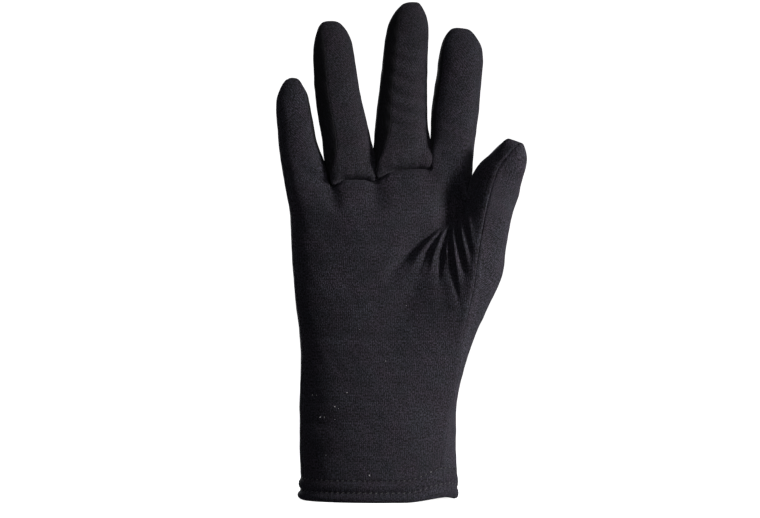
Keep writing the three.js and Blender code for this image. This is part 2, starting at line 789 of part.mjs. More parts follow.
// The palm panel with its gathers joined on
function gatheredPalm(normals) {
  let palm = toManifold(panelSolid(PALM, normals));
  for (const values of GATHERS.rows) {
    const gather = Object.fromEntries(GATHERS.columns.map((name, k) => [name, values[k]]));
    palm = palm.add(toManifold(gatherSolid(gather)));
  }
  const mesh = palm.getMesh();
  return { position: Array.from(mesh.vertProperties), index: Array.from(mesh.triVerts) };
}

const KNIT = { color: 0x232126, roughness: 0.95, metalness: 0 };
const SIDE_KNIT = { color: 0x1c1b1f, roughness: 0.95, metalness: 0 };

function addMesh(group, name, { position, index }, look) {
  const geometry = new THREE.BufferGeometry();
  geometry.setAttribute('position', new THREE.Float32BufferAttribute(position, 3));
  geometry.setIndex(index);
  geometry.computeVertexNormals();
  const mesh = new THREE.Mesh(geometry, new THREE.MeshStandardMaterial(look));
  mesh.name = name;
  group.add(mesh);
}

function buildGlove() {
  buildOuterFace();
  const normals = pointNormals();
  const group = new THREE.Group();
  addMesh(group, 'cuff_hem', hemSolid(), KNIT);
  addMesh(group, PALM, gatheredPalm(normals), KNIT);
  for (const name of [BACK, 'ring_finger_front', 'middle_finger_front']) {
    addMesh(group, name, panelSolid(name, normals), KNIT);
  }
  for (const name of ['little_ring_fourchette', 'ring_middle_fourchette', 'middle_index_fourchette']) {
    addMesh(group, name, panelSolid(name, normals), SIDE_KNIT);
  }
  return group;
}

export default buildGlove();
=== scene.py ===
"""A right-hand glove liner of thin dark knit, in the form that a hand gives it.

X runs to the thumb side, Y from the palm to the back of the hand, Z up to the fingertips.
Lengths in this script are in millimetres until a mesh is made.
"""

import json
import math

import bpy
import numpy as np
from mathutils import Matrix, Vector
from mathutils.kdtree import KDTree

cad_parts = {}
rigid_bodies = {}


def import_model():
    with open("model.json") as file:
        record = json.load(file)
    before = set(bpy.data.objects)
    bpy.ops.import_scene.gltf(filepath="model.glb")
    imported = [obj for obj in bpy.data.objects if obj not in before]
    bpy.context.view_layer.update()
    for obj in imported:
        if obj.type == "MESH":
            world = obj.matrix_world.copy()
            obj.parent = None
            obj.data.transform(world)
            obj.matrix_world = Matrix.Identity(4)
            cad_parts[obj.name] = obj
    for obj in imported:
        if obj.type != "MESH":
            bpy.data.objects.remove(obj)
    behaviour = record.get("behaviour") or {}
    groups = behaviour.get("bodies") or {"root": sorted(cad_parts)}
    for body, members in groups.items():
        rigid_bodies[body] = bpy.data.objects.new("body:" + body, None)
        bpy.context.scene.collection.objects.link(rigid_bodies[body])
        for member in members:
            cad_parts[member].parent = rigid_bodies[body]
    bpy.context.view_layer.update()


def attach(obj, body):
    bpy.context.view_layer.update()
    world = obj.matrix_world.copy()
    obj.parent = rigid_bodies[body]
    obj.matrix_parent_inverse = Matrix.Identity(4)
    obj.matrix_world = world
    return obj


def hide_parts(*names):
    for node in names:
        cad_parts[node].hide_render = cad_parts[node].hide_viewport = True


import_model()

MM = 0.001
TAU = 2 * math.pi

# Sizes of the liner
CUFF_WIDTH = 77
CUFF_DEPTH = 40
HEM_HEIGHT = 12.3
SLEEVE_LENGTH = 128
PALM_DEPTH = 30
THUMB_DROP = 4.5
WEB_RISE = 10.5
WEB_HOLLOW = 9
THUMB_FORWARD = 13
KNUCKLE_LENGTH = 13.8
KNUCKLE_BACK = 0.5
BACK_CROTCH_DROP = 1.5
BASE_SEAM_RISE = 2.4

FRONT_STEPS = 5
THUMB_STEPS = 3
SIDE_STEPS = 4
OUTER_STEPS = 6
SLEEVE_STEPS = 18
KNUCKLE_STEPS = 2
CAP_STEPS = 3
SIDE_ANGLE = 35
THUMB_SEAM_ANGLE = 101
THUMB_TILT = 27

SECTION_COLUMNS = ["at", "shift", "wide", "deep", "tilt"]
DIGITS = {
    "little": {
        "width": 23, "length": 53.9, "depth": 18,
        "lean": -8.2, "turn": 0, "curl": 0.08, "cap": 0.275, "tip": 0.11, "steps": 7,
        "rows": [
            [0, 0, 1, 1, 0],
            [0.25, -0.045, 0.93, 0.98, 0],
            [0.39, -0.087, 0.839, 0.95, 0],
            [0.62, -0.087, 0.774, 0.9, 0],
            [0.76, -0.081, 0.731, 0.86, 0],
            [1, 0, 0.7, 0.8, 0],
        ],
    },
    "ring": {
        "width": 21.7, "length": 80.5, "depth": 20,
        "lean": -7.7, "turn": 36, "curl": 0.06, "cap": 0.172, "tip": 0.22, "steps": 9,
        "rows": [
            [0, 0, 1, 1, 0],
            [0.2, -0.02, 1.11, 1, 0],
            [0.39, -0.057, 1.09, 0.97, 0],
            [0.58, -0.084, 1.02, 0.93, 0],
            [0.78, -0.064, 0.955, 0.88, 0],
            [1, 0, 0.9, 0.8, 0],
        ],
    },
    "middle": {
        "width": 27.2, "length": 84.5, "depth": 21.5,
        "lean": 2.7, "turn": 33, "curl": 0.05, "cap": 0.146, "tip": 0.16, "steps": 9,
        "rows": [
            [0, 0, 1, 1, 0],
            [0.14, -0.042, 0.99, 1, 0],
            [0.32, -0.069, 0.94, 0.97, 0],
            [0.5, -0.082, 0.873, 0.92, 0],
            [0.74, -0.053, 0.818, 0.86, 0],
            [0.88, -0.036, 0.745, 0.82, 0],
            [1, 0, 0.72, 0.8, 0],
        ],
    },
    "index": {
        "width": 20.3, "length": 70.1, "depth": 21,
        "lean": 3.6, "turn": 8, "curl": 0.06, "cap": 0.197, "tip": 0.24, "steps": 8,
        "rows": [
            [0, 0, 1, 1, 0],
            [0.18, -0.01, 1.07, 0.98, 0],
            [0.41, 0, 1.16, 0.95, 0],
            [0.58, 0.03, 1.12, 0.91, 0],
            [0.75, 0.056, 1.1, 0.88, 0],
            [1, 0, 1, 0.82, 0],
        ],
    },
    "thumb": {
        "width": 24.7, "length": 37.5, "depth": 22,
        "lean": 19.6, "turn": 0, "curl": 0.3, "cap": 0.3, "tip": 0.2, "steps": 5,
        "rows": [
            [0, 0, 1, 1, 27],
            [0.31, -0.028, 1.02, 0.98, 25],
            [0.57, -0.033, 0.88, 0.92, 24],
            [0.77, 0.02, 0.7, 0.85, 22],
            [1, 0, 0.6, 0.75, 20],
        ],
    },
}
FINGERS = ["little", "ring", "middle", "index"]

SLEEVE_COLUMNS = ["up", "left", "right", "web", "seam", "deep", "round", "thumb", "hollow", "rise"]
SLEEVE_ROWS = [
    [0, -0.04, 0.01, 0.98, 0.5, 0, 2.15, 0, 0, 0],
    [0.13, 0.06, -0.01, 1, 0.585, 0.05, 2.15, 0, 0, 0],
    [0.29, 0.06, 0.01, 1.04, 0.69, 0.15, 2.2, 0.03, 0, 0],
    [0.44, -0.04, 0.155, 1.03, 0.67, 0.3, 2.25, 0.15, 0, 0],
    [0.56, 0.15, 0.35, 1, 0.575, 0.5, 2.3, 0.35, 0, 0],
    [0.67, 0.52, 0.58, 0.98, 0.495, 0.65, 2.35, 0.6, 0.03, 0.03],
    [0.78, 0.71, 0.8, 0.98, 0.41, 0.8, 2.4, 0.8, 0.15, 0.15],
    [0.89, 0.88, 0.885, 0.99, 0.38, 0.92, 2.45, 0.95, 0.5, 0.5],
    [1, 1, 1, 1, 0.385, 1, 2.5, 1, 1, 1],
]
LEFT_SEAM_SHARE = 0.02
CROTCH_RISES = [0, 0, 0.25, 0.68, 0.53]
WEB_REACH_LEFT = 0.35

FINGERS_WIDTH = sum(DIGITS[name]["width"] for name in FINGERS)
CROTCH_SHARES = [0]
for finger_name in FINGERS:
    CROTCH_SHARES.append(CROTCH_SHARES[-1] + DIGITS[finger_name]["width"] / FINGERS_WIDTH)
THUMB_ROW_LEFT = -0.475 * FINGERS_WIDTH
WEB_X = 0.469 * FINGERS_WIDTH
THUMB_ROW_RIGHT = WEB_X + DIGITS["thumb"]["width"] * math.cos(math.radians(THUMB_TILT))
WEB_SHARE = (WEB_X - THUMB_ROW_LEFT) / (THUMB_ROW_RIGHT - THUMB_ROW_LEFT)
THUMB_ROW_HEIGHT = HEM_HEIGHT + SLEEVE_LENGTH
KNUCKLE_HEIGHT = THUMB_ROW_HEIGHT + KNUCKLE_LENGTH
EDGE_BULGE = 0.12 * DIGITS["little"]["width"]

PALM, BACK = 0, 1
RING_FRONT, MIDDLE_FRONT = 2, 3
FOURCHETTES = [4, 5, 6]
PANEL_NAMES = [
    "palm_panel", "back_panel", "ring_finger_front", "middle_finger_front",
    "little_ring_fourchette", "ring_middle_fourchette", "middle_index_fourchette",
]
BACK_GRAIN = math.radians(28)
FINGER_GRAIN = math.radians(-38)


def lerp(a, b, t):
    return a + (b - a) * t


def smooth(value):
    """Eases from 0 to 1, also for an array."""
    t = np.clip(value, 0, 1)
    return t * t * (3 - 2 * t)


def sample(columns, rows, at):
    """Reads a table at a place between its rows, along a curve through them."""
    k = 0
    while k < len(rows) - 2 and at > rows[k + 1][0]:
        k += 1
    before, start = rows[max(k - 1, 0)], rows[k]
    end, after = rows[k + 1], rows[min(k + 2, len(rows) - 1)]
    step = end[0] - start[0]
    t = (at - start[0]) / step
    found = {}
    for c, name in enumerate(columns):
        slope_start = (end[c] - before[c]) / (end[0] - before[0]) * step
        slope_end = (after[c] - start[c]) / (after[0] - start[0]) * step
        found[name] = (
            start[c] * (2 * t**3 - 3 * t**2 + 1)
            + slope_start * (t**3 - 2 * t**2 + t)
            + end[c] * (3 * t**2 - 2 * t**3)
            + slope_end * (t**3 - t**2)
        )
    return found


def rounded_square(angle, exponent):
    """A superellipse's two coordinates at an angle, each from -1 to 1."""
    x, y = math.cos(angle), math.sin(angle)
    return (
        math.copysign(abs(x) ** (2 / exponent), x),
        math.copysign(abs(y) ** (2 / exponent), y),
    )


def angle_across(share, exponent):
    """The angle, on the palm side, of the point that lies at a share of the width."""
    x = 2 * share - 1
    return -math.acos(math.copysign(abs(x) ** (exponent / 2), x))


def web_pull(share):
    """How strongly the thumb's web acts at a share of the width."""
    reach = WEB_REACH_LEFT if share < WEB_SHARE else 1 - WEB_SHARE
    away = min(abs(share - WEB_SHARE) / reach, 1)
    return math.cos(away * math.pi / 2) ** 2


def sleeve_point(row, angle):
    """A point of the sleeve's outer face at a row and an angle round it."""
    x, y = rounded_square(angle, row["round"])
    share = (1 + x) / 2
    left = lerp(-CUFF_WIDTH / 2, THUMB_ROW_LEFT, row["left"])
    right = lerp(CUFF_WIDTH / 2, THUMB_ROW_RIGHT, row["right"])
    depth = lerp(CUFF_DEPTH, PALM_DEPTH, row["deep"]) / 2
    pull = web_pull(share)
    forward = THUMB_FORWARD * row["thumb"] * float(smooth((share - 0.5) / 0.5))
    height = HEM_HEIGHT + (SLEEVE_LENGTH - THUMB_DROP * share) * row["up"]
    return np.array([
        lerp(left, right, share),
        depth * y - forward - WEB_HOLLOW * row["hollow"] * pull * min(y, 0),
        height + WEB_RISE * row["rise"] * pull,
    ])


def palm_shares():
    """Shares of the width where the palm's columns stand, from the little finger's edge to the web."""
    shares = []
    for finger in range(len(FINGERS)):
        for step in range(FRONT_STEPS):
            shares.append(lerp(CROTCH_SHARES[finger], CROTCH_SHARES[finger + 1], step / FRONT_STEPS))
    return shares + [1]


def spread(start, end, steps):
    return [lerp(start, end, k / steps) for k in range(steps + 1)]


def sleeve_angles(row):
    """The angles of a row of the sleeve, as four stretches round it."""
    web = WEB_SHARE * row["web"]
    seam = lerp(web, 1, row["seam"])
    shares = [lerp(LEFT_SEAM_SHARE, web, share) for share in palm_shares()]
    shares += [lerp(web, seam, step / THUMB_STEPS) for step in range(1, THUMB_STEPS + 1)]
    front = [angle_across(share, row["round"]) for share in shares]
    back = [-angle for angle in front][::-1]
    outer = spread(front[-1], back[0], OUTER_STEPS)[1:-1]
    inner = spread(back[-1], front[0] + TAU, SIDE_STEPS)[1:-1]
    return {"front": front, "right": outer, "back": back, "left": inner}


STRETCHES = ["front", "right", "back", "left"]
points = []
faces = []


def add_point(point):
    points.append(np.array(point, float))
    return len(points) - 1


def joined(stretches):
    return [item for name in STRETCHES for item in stretches[name]]


class Ring:
    """A closed ring of points with the knit's coordinates at each: across from the front's middle
    and from the back's middle, and up. The knit's direction turns by grain about the origin given."""

    def __init__(self, stretches, heights, front_middle, back_middle, origins=None, grain=0.0):
        self.ids = joined(stretches)
        self.stretches = stretches
        places = np.array([points[k] for k in self.ids + self.ids[:1]])
        arc = np.concatenate([[0], np.cumsum(np.linalg.norm(np.diff(places, axis=0), axis=1))])
        back_at = len(stretches["front"]) + len(stretches["right"]) + back_middle
        self.across = {"front": arc - arc[front_middle], "back": arc - arc[back_at]}
        self.up = np.array(heights + heights[:1], float)
        self.origins = origins
        self.grain = grain

    def place(self, k, side):
        across, up = self.across[side][k], self.up[k]
        if self.origins is None:
            return across, up
        origin_across, origin_up = self.origins[side]
        c, s = math.cos(self.grain), math.sin(self.grain)
        return origin_across + c * across - s * up, origin_up + s * across + c * up


def add_strip(lower, upper, panels):
    """Fills the strip between two rings; panels names the panel of each step round."""
    count = len(lower.ids)
    for k in range(count):
        side = "back" if panels[k] == BACK else "front"
        after = (k + 1) % count
        corners = [
            (lower.ids[k], lower.place(k, side)),
            (lower.ids[after], lower.place(k + 1, side)),
            (upper.ids[after], upper.place(k + 1, side)),
            (upper.ids[k], upper.place(k, side)),
        ]
        kept = [c for j, c in enumerate(corners) if c[0] != corners[(j + 1) % 4][0]]
        if len(kept) > 2:
            faces.append(([c[0] for c in kept], [c[1] for c in kept], panels[k]))


def stretch_panels(front, right, back, left, counts):
    return [front] * counts[0] + [right] * counts[1] + [back] * counts[2] + [left] * counts[3]


def height_ring(stretches, front_middle, back_middle):
    heights = [points[k][2] for k in joined(stretches)]
    return Ring(stretches, heights, front_middle, back_middle)


def add_sleeve():
    """The sleeve, from the hem to the row where the thumb leaves."""
    front_steps = len(FINGERS) * FRONT_STEPS + THUMB_STEPS
    panels = stretch_panels(PALM, BACK, BACK, BACK, [front_steps, OUTER_STEPS, front_steps, SIDE_STEPS])
    middle = len(FINGERS) * FRONT_STEPS // 2
    ring = None
    for step in range(SLEEVE_STEPS + 1):
        row = sample(SLEEVE_COLUMNS, SLEEVE_ROWS, step / SLEEVE_STEPS)
        angles = sleeve_angles(row)
        stretches = {
            name: [add_point(sleeve_point(row, angle)) for angle in angles[name]] for name in STRETCHES
        }
        upper = height_ring(stretches, middle, THUMB_STEPS + middle)
        if ring is not None:
            add_strip(ring, upper, panels)
        ring = upper
    return ring


def add_chain(front_id, back_id, sag):
    """Points between a front and a back point, sagging a little in the middle."""
    start, end = points[front_id], points[back_id]
    chain = []
    for share in spread(0, 1, SIDE_STEPS)[1:-1]:
        point = lerp(start, end, share)
        point[2] -= sag * math.sin(math.pi * share)
        chain.append(add_point(point))
    return chain


def rim_point(share, side):
    """A point of the row where the four fingers start; side is -1 on the palm side and 1 behind."""
    finger = 0
    while finger < len(FINGERS) - 1 and share > CROTCH_SHARES[finger + 1] + 1e-9:
        finger += 1
    start = CROTCH_SHARES[finger]
    along = (share - start) / (CROTCH_SHARES[finger + 1] - start)
    arch = max(math.sin(math.pi * along), 0)
    edge = (finger == 0 and along < 0.5) or (finger == 3 and along > 0.5)
    crotch = 0.62 if edge else (0.85 if side < 0 else 0.7)
    depth = DIGITS[FINGERS[finger]]["depth"] / 2 * lerp(crotch, 1, arch**0.7)
    rise = lerp(CROTCH_RISES[finger], CROTCH_RISES[finger + 1], along) * KNUCKLE_LENGTH
    seam_arch = max(math.sin(math.pi * along**0.6), 0)
    lift = -BACK_CROTCH_DROP if side > 0 else BASE_SEAM_RISE * seam_arch
    inset = EDGE_BULGE * (int(share == 0) - int(share == 1))
    return np.array([
        FINGERS_WIDTH * (share - 0.5) + inset,
        KNUCKLE_BACK + side * depth,
        KNUCKLE_HEIGHT + rise + lift,
    ])


def edge_bulge(start, end, out):
    """Points round an outer edge of the knuckles, bulging sideways."""
    chain = []
    for share in spread(0, 1, SIDE_STEPS)[1:-1]:
        point = lerp(start, end, share)
        point[0] += out * math.sin(math.pi * share)
        chain.append(point)
    return chain


def add_knuckles(thumb_row, web_chain):
    """The knuckles: from the thumb row, left of the web, to the finger bases."""
    columns = len(FINGERS) * FRONT_STEPS
    rim = {
        "front": [rim_point(share, -1) for share in palm_shares()],
        "back": [rim_point(share, 1) for share in palm_shares()][::-1],
    }
    rim["right"] = edge_bulge(rim["front"][-1], rim["back"][0], EDGE_BULGE)
    rim["left"] = edge_bulge(rim["back"][-1], rim["front"][0], -EDGE_BULGE)
    start = {
        "front": thumb_row["front"][:columns + 1],
        "right": web_chain,
        "back": thumb_row["back"][THUMB_STEPS:],
        "left": thumb_row["left"],
    }
    panels = stretch_panels(PALM, PALM, BACK, BACK, [columns, SIDE_STEPS, columns, SIDE_STEPS])
    middle = columns // 2
    ring = height_ring(start, middle, middle)
    for step in range(1, KNUCKLE_STEPS + 1):
        share = step / KNUCKLE_STEPS
        stretches = {
            name: [add_point(lerp(points[k], rim[name][j], share)) for j, k in enumerate(start[name])]
            for name in STRETCHES
        }
        upper = height_ring(stretches, middle, middle)
        add_strip(ring, upper, panels)
        ring = upper
    return ring


def digit_point(digit, base, at, angle, tip_share):
    """A digit's section: the point at a share of its length and an angle round it."""
    body = sample(SECTION_COLUMNS, digit["rows"], at)
    rise = max((at - 1 + digit["cap"]) / digit["cap"], 0)
    shrink = math.sqrt(max(1 - rise * rise, 0))
    turned = angle + math.radians(digit["turn"]) * shrink * float(smooth(at / 0.25))
    x, y = rounded_square(turned, 2.3)
    half_tip = digit["tip"] * digit["width"] / 2
    half = lerp(half_tip, body["wide"] * digit["width"] / 2, shrink)
    across = body["shift"] * digit["width"] + half * lerp(tip_share, x, shrink)
    along = at * digit["length"]
    lean, tilt = math.radians(digit["lean"]), math.radians(body["tilt"])
    return np.array([
        base[0] + along * math.sin(lean) + across * math.cos(tilt),
        base[1] + body["deep"] * digit["depth"] * y * shrink / 2 - digit["curl"] * digit["length"] * at * at,
        base[2] + along * math.cos(lean) - across * math.sin(tilt),
    ])


def add_digit(digit, base, centre, panels, seam_angle, origins, grain):
    """A digit from its base ring to its tip seam."""
    side, seam = math.radians(SIDE_ANGLE), math.radians(seam_angle)
    steps = {
        "front": len(base["front"]) - 1, "right": len(base["right"]) + 1,
        "back": len(base["back"]) - 1, "left": len(base["left"]) + 1,
    }

    def with_tip(angles, start, end):
        last = max(len(angles) - 1, 1)
        return [(angle, lerp(start, end, k / last)) for k, angle in enumerate(angles)]

    columns = {
        "front": with_tip(spread(side - math.pi, -seam, steps["front"]), -1, 1),
        "right": with_tip(spread(-seam, side, steps["right"])[1:-1], 1, 1),
        "back": with_tip(spread(side, math.pi - side, steps["back"]), 1, -1),
        "left": with_tip(spread(math.pi - side, math.pi + side, steps["left"])[1:-1], -1, -1),
    }
    step_panels = stretch_panels(*[panels[name] for name in STRETCHES], [steps[name] for name in STRETCHES])
    front_middle, back_middle = steps["front"] // 2, steps["back"] // 2
    heights = spread(0, 1 - digit["cap"], digit["steps"])[1:]
    heights += [
        1 - digit["cap"] + digit["cap"] * math.sin(k / CAP_STEPS * math.pi / 2) for k in range(1, CAP_STEPS + 1)
    ]
    count = sum(len(base[name]) for name in STRETCHES)
    ring = Ring(base, [0.0] * count, front_middle, back_middle, origins)
    for at in heights:
        keep = 1 - float(smooth(at / 0.3))
        places = {}
        for name in STRETCHES:
            places[name] = []
            for j, (angle, tip_share) in enumerate(columns[name]):
                point = digit_point(digit, centre, at, angle, tip_share)
                offset = points[base[name][j]] - digit_point(digit, centre, 0, angle, tip_share)
                places[name].append(point + offset * keep)
        if at == heights[-1]:
            line = [add_point(point) for point in places["front"]]
            stretches = {
                "front": line, "right": [line[-1]] * (steps["right"] - 1),
                "back": line[::-1], "left": [line[0]] * (steps["left"] - 1),
            }
        else:
            stretches = {name: [add_point(point) for point in places[name]] for name in STRETCHES}
        turn = grain * float(smooth(at / 0.4))
        upper = Ring(stretches, [at * digit["length"]] * count, front_middle, back_middle, origins, turn)
        add_strip(ring, upper, step_panels)
        ring = upper


def digit_origins(ring, front_at, back_at):
    """Where a digit's knit starts, so that it runs on from the hand's."""
    return {
        "front": (ring.across["front"][front_at], ring.up[front_at]),
        "back": (ring.across["back"][back_at], ring.up[back_at]),
    }


def build_cage():
    """The liner's outer face as a coarse mesh."""
    thumb_ring = add_sleeve()
    thumb_row = thumb_ring.stretches
    columns = len(FINGERS) * FRONT_STEPS
    web_chain = add_chain(thumb_row["front"][columns], thumb_row["back"][THUMB_STEPS], 1)
    rim_ring = add_knuckles(thumb_row, web_chain)
    rim = rim_ring.stretches

    chains = [rim["left"][::-1]]
    for k in range(1, len(FINGERS)):
        chains.append(add_chain(rim["front"][k * FRONT_STEPS], rim["back"][columns - k * FRONT_STEPS], 0.5))
    chains.append(rim["right"])

    left_panels = [BACK] + FOURCHETTES
    right_panels = FOURCHETTES + [PALM]
    front_panels = [PALM, RING_FRONT, MIDDLE_FRONT, PALM]
    for k, name in enumerate(FINGERS):
        first, last = k * FRONT_STEPS, (k + 1) * FRONT_STEPS
        base = {
            "front": rim["front"][first:last + 1],
            "right": chains[k + 1],
            "back": rim["back"][columns - last:columns - first + 1],
            "left": chains[k][::-1],
        }
        panels = {"front": front_panels[k], "right": right_panels[k], "back": BACK, "left": left_panels[k]}
        centre = np.array([
            FINGERS_WIDTH * (CROTCH_SHARES[k] + CROTCH_SHARES[k + 1] - 1) / 2,
            KNUCKLE_BACK,
            KNUCKLE_HEIGHT + KNUCKLE_LENGTH * (CROTCH_RISES[k] + CROTCH_RISES[k + 1]) / 2,
        ])
        middle = FRONT_STEPS // 2
        back_at = len(rim["front"]) + len(rim["right"]) + columns - last + middle
        origins = digit_origins(rim_ring, first + middle, back_at)
        add_digit(DIGITS[name], base, centre, panels, SIDE_ANGLE, origins, FINGER_GRAIN)

    base = {
        "front": thumb_row["front"][columns:],
        "right": thumb_row["right"],
        "back": thumb_row["back"][:THUMB_STEPS + 1],
        "left": web_chain[::-1],
    }
    centre = np.array([
        (WEB_X + THUMB_ROW_RIGHT) / 2,
        (points[base["front"][1]][1] + points[base["back"][2]][1]) / 2,
        THUMB_ROW_HEIGHT + (WEB_RISE - THUMB_DROP * (1 + WEB_SHARE)) / 2,
    ])
    panels = {"front": PALM, "right": BACK, "back": BACK, "left": PALM}
    back_at = len(thumb_row["front"]) + len(thumb_row["right"]) + THUMB_STEPS // 2
    origins = digit_origins(thumb_ring, columns + THUMB_STEPS // 2, back_at)
    add_digit(DIGITS["thumb"], base, centre, panels, THUMB_SEAM_ANGLE, origins, FINGER_GRAIN)


# Subdivision of the cage into a fine smooth surface
def cage_mesh(places):
    """A Blender mesh of the cage, with its panels as material indices and the knit's coordinates."""
    mesh = bpy.data.meshes.new("cage")
    mesh.from_pydata([tuple(p) for p in places], [], [f[0] for f in faces])
    mesh.polygons.foreach_set("material_index", [f[2] for f in faces])
    knit = mesh.uv_layers.new(name="knit")
    knit.data.foreach_set("uv", [value for f in faces for place in f[1] for value in place])
    return mesh


def subdivided(places, level):
    """Points, corner lists, knit coordinates and panels of the cage subdivided to a level."""
    mesh = cage_mesh(places)
    for _ in PANEL_NAMES:
        mesh.materials.append(None)
    holder = bpy.data.objects.new("cage", mesh)
    bpy.context.scene.collection.objects.link(holder)
    modifier = holder.modifiers.new("smooth", "SUBSURF")
    modifier.levels = level
    modifier.render_levels = level
    fine = holder.evaluated_get(bpy.context.evaluated_depsgraph_get()).to_mesh()
    place = np.zeros(len(fine.vertices) * 3)
    fine.vertices.foreach_get("co", place)
    corners = np.zeros(len(fine.loops), int)
    fine.loops.foreach_get("vertex_index", corners)
    panel = np.zeros(len(fine.polygons), int)
    fine.polygons.foreach_get("material_index", panel)
    knit = np.zeros(len(fine.loops) * 2)
    fine.uv_layers["knit"].data.foreach_get("uv", knit)
    bpy.data.objects.remove(holder)
    bpy.data.meshes.remove(mesh)
    return place.reshape(-1, 3), corners.reshape(-1, 4), knit.reshape(-1, 4, 2), panel


def fitted_cage():
    """The cage moved so that its smooth surface passes through the cage's own points."""
    wanted = np.array(points)
    places = wanted.copy()
    for _ in range(3):
        reached = subdivided(places, 1)[0][:len(wanted)]
        places += 0.9 * (wanted - reached)
    return places


def vertex_normals(place, quads):
    """Outward direction at each point."""
    normal = np.cross(place[quads[:, 2]] - place[quads[:, 0]], place[quads[:, 3]] - place[quads[:, 1]])
    total = np.zeros_like(place)
    for k in range(4):
        np.add.at(total, quads[:, k], normal)
    return total / np.maximum(np.linalg.norm(total, axis=1), 1e-12)[:, None]


# Camera: the picture plane at Y 0 holds the liner at its real size
CAMERA_DISTANCE = 1150
CAMERA_X = 0.74
CAMERA_Z = 118.6


def as_seen(place):
    """Where points lie on the plane Y 0, seen from the camera."""
    scale = CAMERA_DISTANCE / (CAMERA_DISTANCE + place[:, 1])
    return np.stack([
        CAMERA_X + (place[:, 0] - CAMERA_X) * scale,
        CAMERA_Z + (place[:, 2] - CAMERA_Z) * scale,
    ], 1)


# Creases and ridges of the palm side, as seen: up to five points x z from the thumb's web outward,
# height over the cloth (negative for a valley), half the width, and how sharp the profile is (1
# sharp, 2 round).
FOLD_COLUMNS = ["line", "height", "half", "power"]
FOLDS = [
    [[(34, 138), (25.5, 130.5), (18.5, 124), (11, 116.5), (-2, 106)], -1.3, 1.2, 1.2],
    [[(34, 140), (25, 134.5), (16, 129), (6, 121)], -0.8, 1.2, 1.4],
    [[(33, 137), (22, 129.5), (12, 119), (0, 104)], -1, 3.2, 2],
    [[(34, 136), (25.5, 127.5), (19.5, 120), (13, 109)], 1, 1.5, 2],
    [[(34, 136.5), (28, 128), (23.5, 120.5), (18, 108)], -1.4, 1.1, 1.3],
    [[(34, 135.5), (29.8, 126), (27, 118), (24.5, 106)], 1, 1.2, 2],
    [[(34.5, 135), (32.2, 125), (30.6, 117), (29.5, 104)], -2.2, 1.2, 1.5],
    [[(35, 134.5), (35.4, 122), (36.6, 112), (38.6, 102), (41, 90)], -1.7, 1.1, 1.3],
    [[(33.6, 130), (33.9, 122), (34.6, 113)], 0.9, 1.1, 2],
    [[(36.3, 137), (37.6, 126), (39, 114.6), (41, 100)], 1.3, 1.3, 2],
    [[(37.4, 140), (39.2, 128.5), (41.2, 118.1), (43.4, 106)], -2.1, 1.3, 1.5],
    [[(38.8, 146), (41, 132.4), (43.4, 121), (45.4, 110)], 1.2, 1.3, 2],
    [[(40, 149), (42.6, 136.4), (45.2, 124), (46.6, 114)], -1.1, 1, 1.5],
    [[(41.4, 151), (44.4, 139), (47, 127), (48.4, 118)], 0.7, 1.1, 2],
    [[(10, 112), (3, 106.5), (-4.2, 103.2), (-12, 101)], -0.45, 3.2, 2],
    [[(20, 108), (15, 98), (12, 88)], -0.35, 3.5, 2],
    [[(31, 108), (32, 98), (34, 86)], -0.3, 3, 2],
]
# Soft creases on the fingers and at their bases, as seen
SOFT_FOLDS = [
    [[(6, 233), (15, 230), (25, 230)], -0.35, 1.9, 2],
    [[(4, 227), (14, 223), (26, 222)], -0.5, 2, 2],
    [[(4, 220), (14, 215.5), (26, 213.5)], -0.8, 2.1, 2],
    [[(3, 212), (13, 207), (26, 204.5)], -0.95, 2.1, 2],
    [[(3, 204), (13, 199), (26, 196.5)], -0.9, 2.1, 2],
    [[(3, 196), (13, 191), (26, 188.5)], -0.8, 2, 2],
    [[(2, 188), (12, 183.5), (25, 181.5)], -0.6, 2, 2],
    [[(2, 180), (12, 176), (24, 175)], -0.45, 2, 2],
    [[(33, 205), (39, 202.5), (46, 203)], -0.3, 1.8, 2],
    [[(32, 196), (38, 194), (44, 194.5)], -0.35, 1.8, 2],
    [[(31, 187), (37, 184), (44, 184)], -0.35, 1.9, 2],
    [[(30, 178), (36, 175), (42, 175)], -0.35, 1.9, 2],
    [[(28, 171), (33, 167.5), (40, 167)], -0.3, 1.8, 2],
    [[(-30, 210), (-24, 206), (-18, 205.5)], -0.25, 1.8, 2],
    [[(-27, 196), (-21, 193), (-14, 192)], -0.25, 2, 2],
    [[(-24, 176), (-17, 172.5), (-10, 172.5)], -0.3, 2, 2],
    [[(-45, 190), (-41, 187.5), (-36, 187)], -0.3, 1.8, 2],
    [[(-44, 178), (-39, 175), (-34, 174.5)], -0.3, 1.9, 2],
    [[(-42, 166), (-36, 162.5), (-30, 160)], -0.4, 2.1, 2],
    [[(-43, 155), (-37, 152), (-31, 150)], -0.3, 2.2, 2],
    [[(30, 160), (25, 158), (20, 158.5)], -0.35, 2.2, 2],
    [[(14, 158), (8, 155), (2, 154.5)], -0.3, 2.5, 2],
    [[(-37, 38), (-20, 35.5), (0, 36.5)], -0.35, 2.6, 2],
    [[(-36, 24), (-26, 22), (-14, 22.5)], -0.45, 2.2, 2],
    [[(-38, 60), (-24, 57.5), (-8, 58.5)], -0.28, 3, 2],
    [[(-6, 47), (12, 44.5), (28, 46)], -0.28, 2.8, 2],
    [[(0, 30), (15, 27), (30, 30)], -0.3, 2.6, 2],
    [[(-38, 82), (-22, 80), (-4, 81.5)], -0.25, 3.2, 2],
]


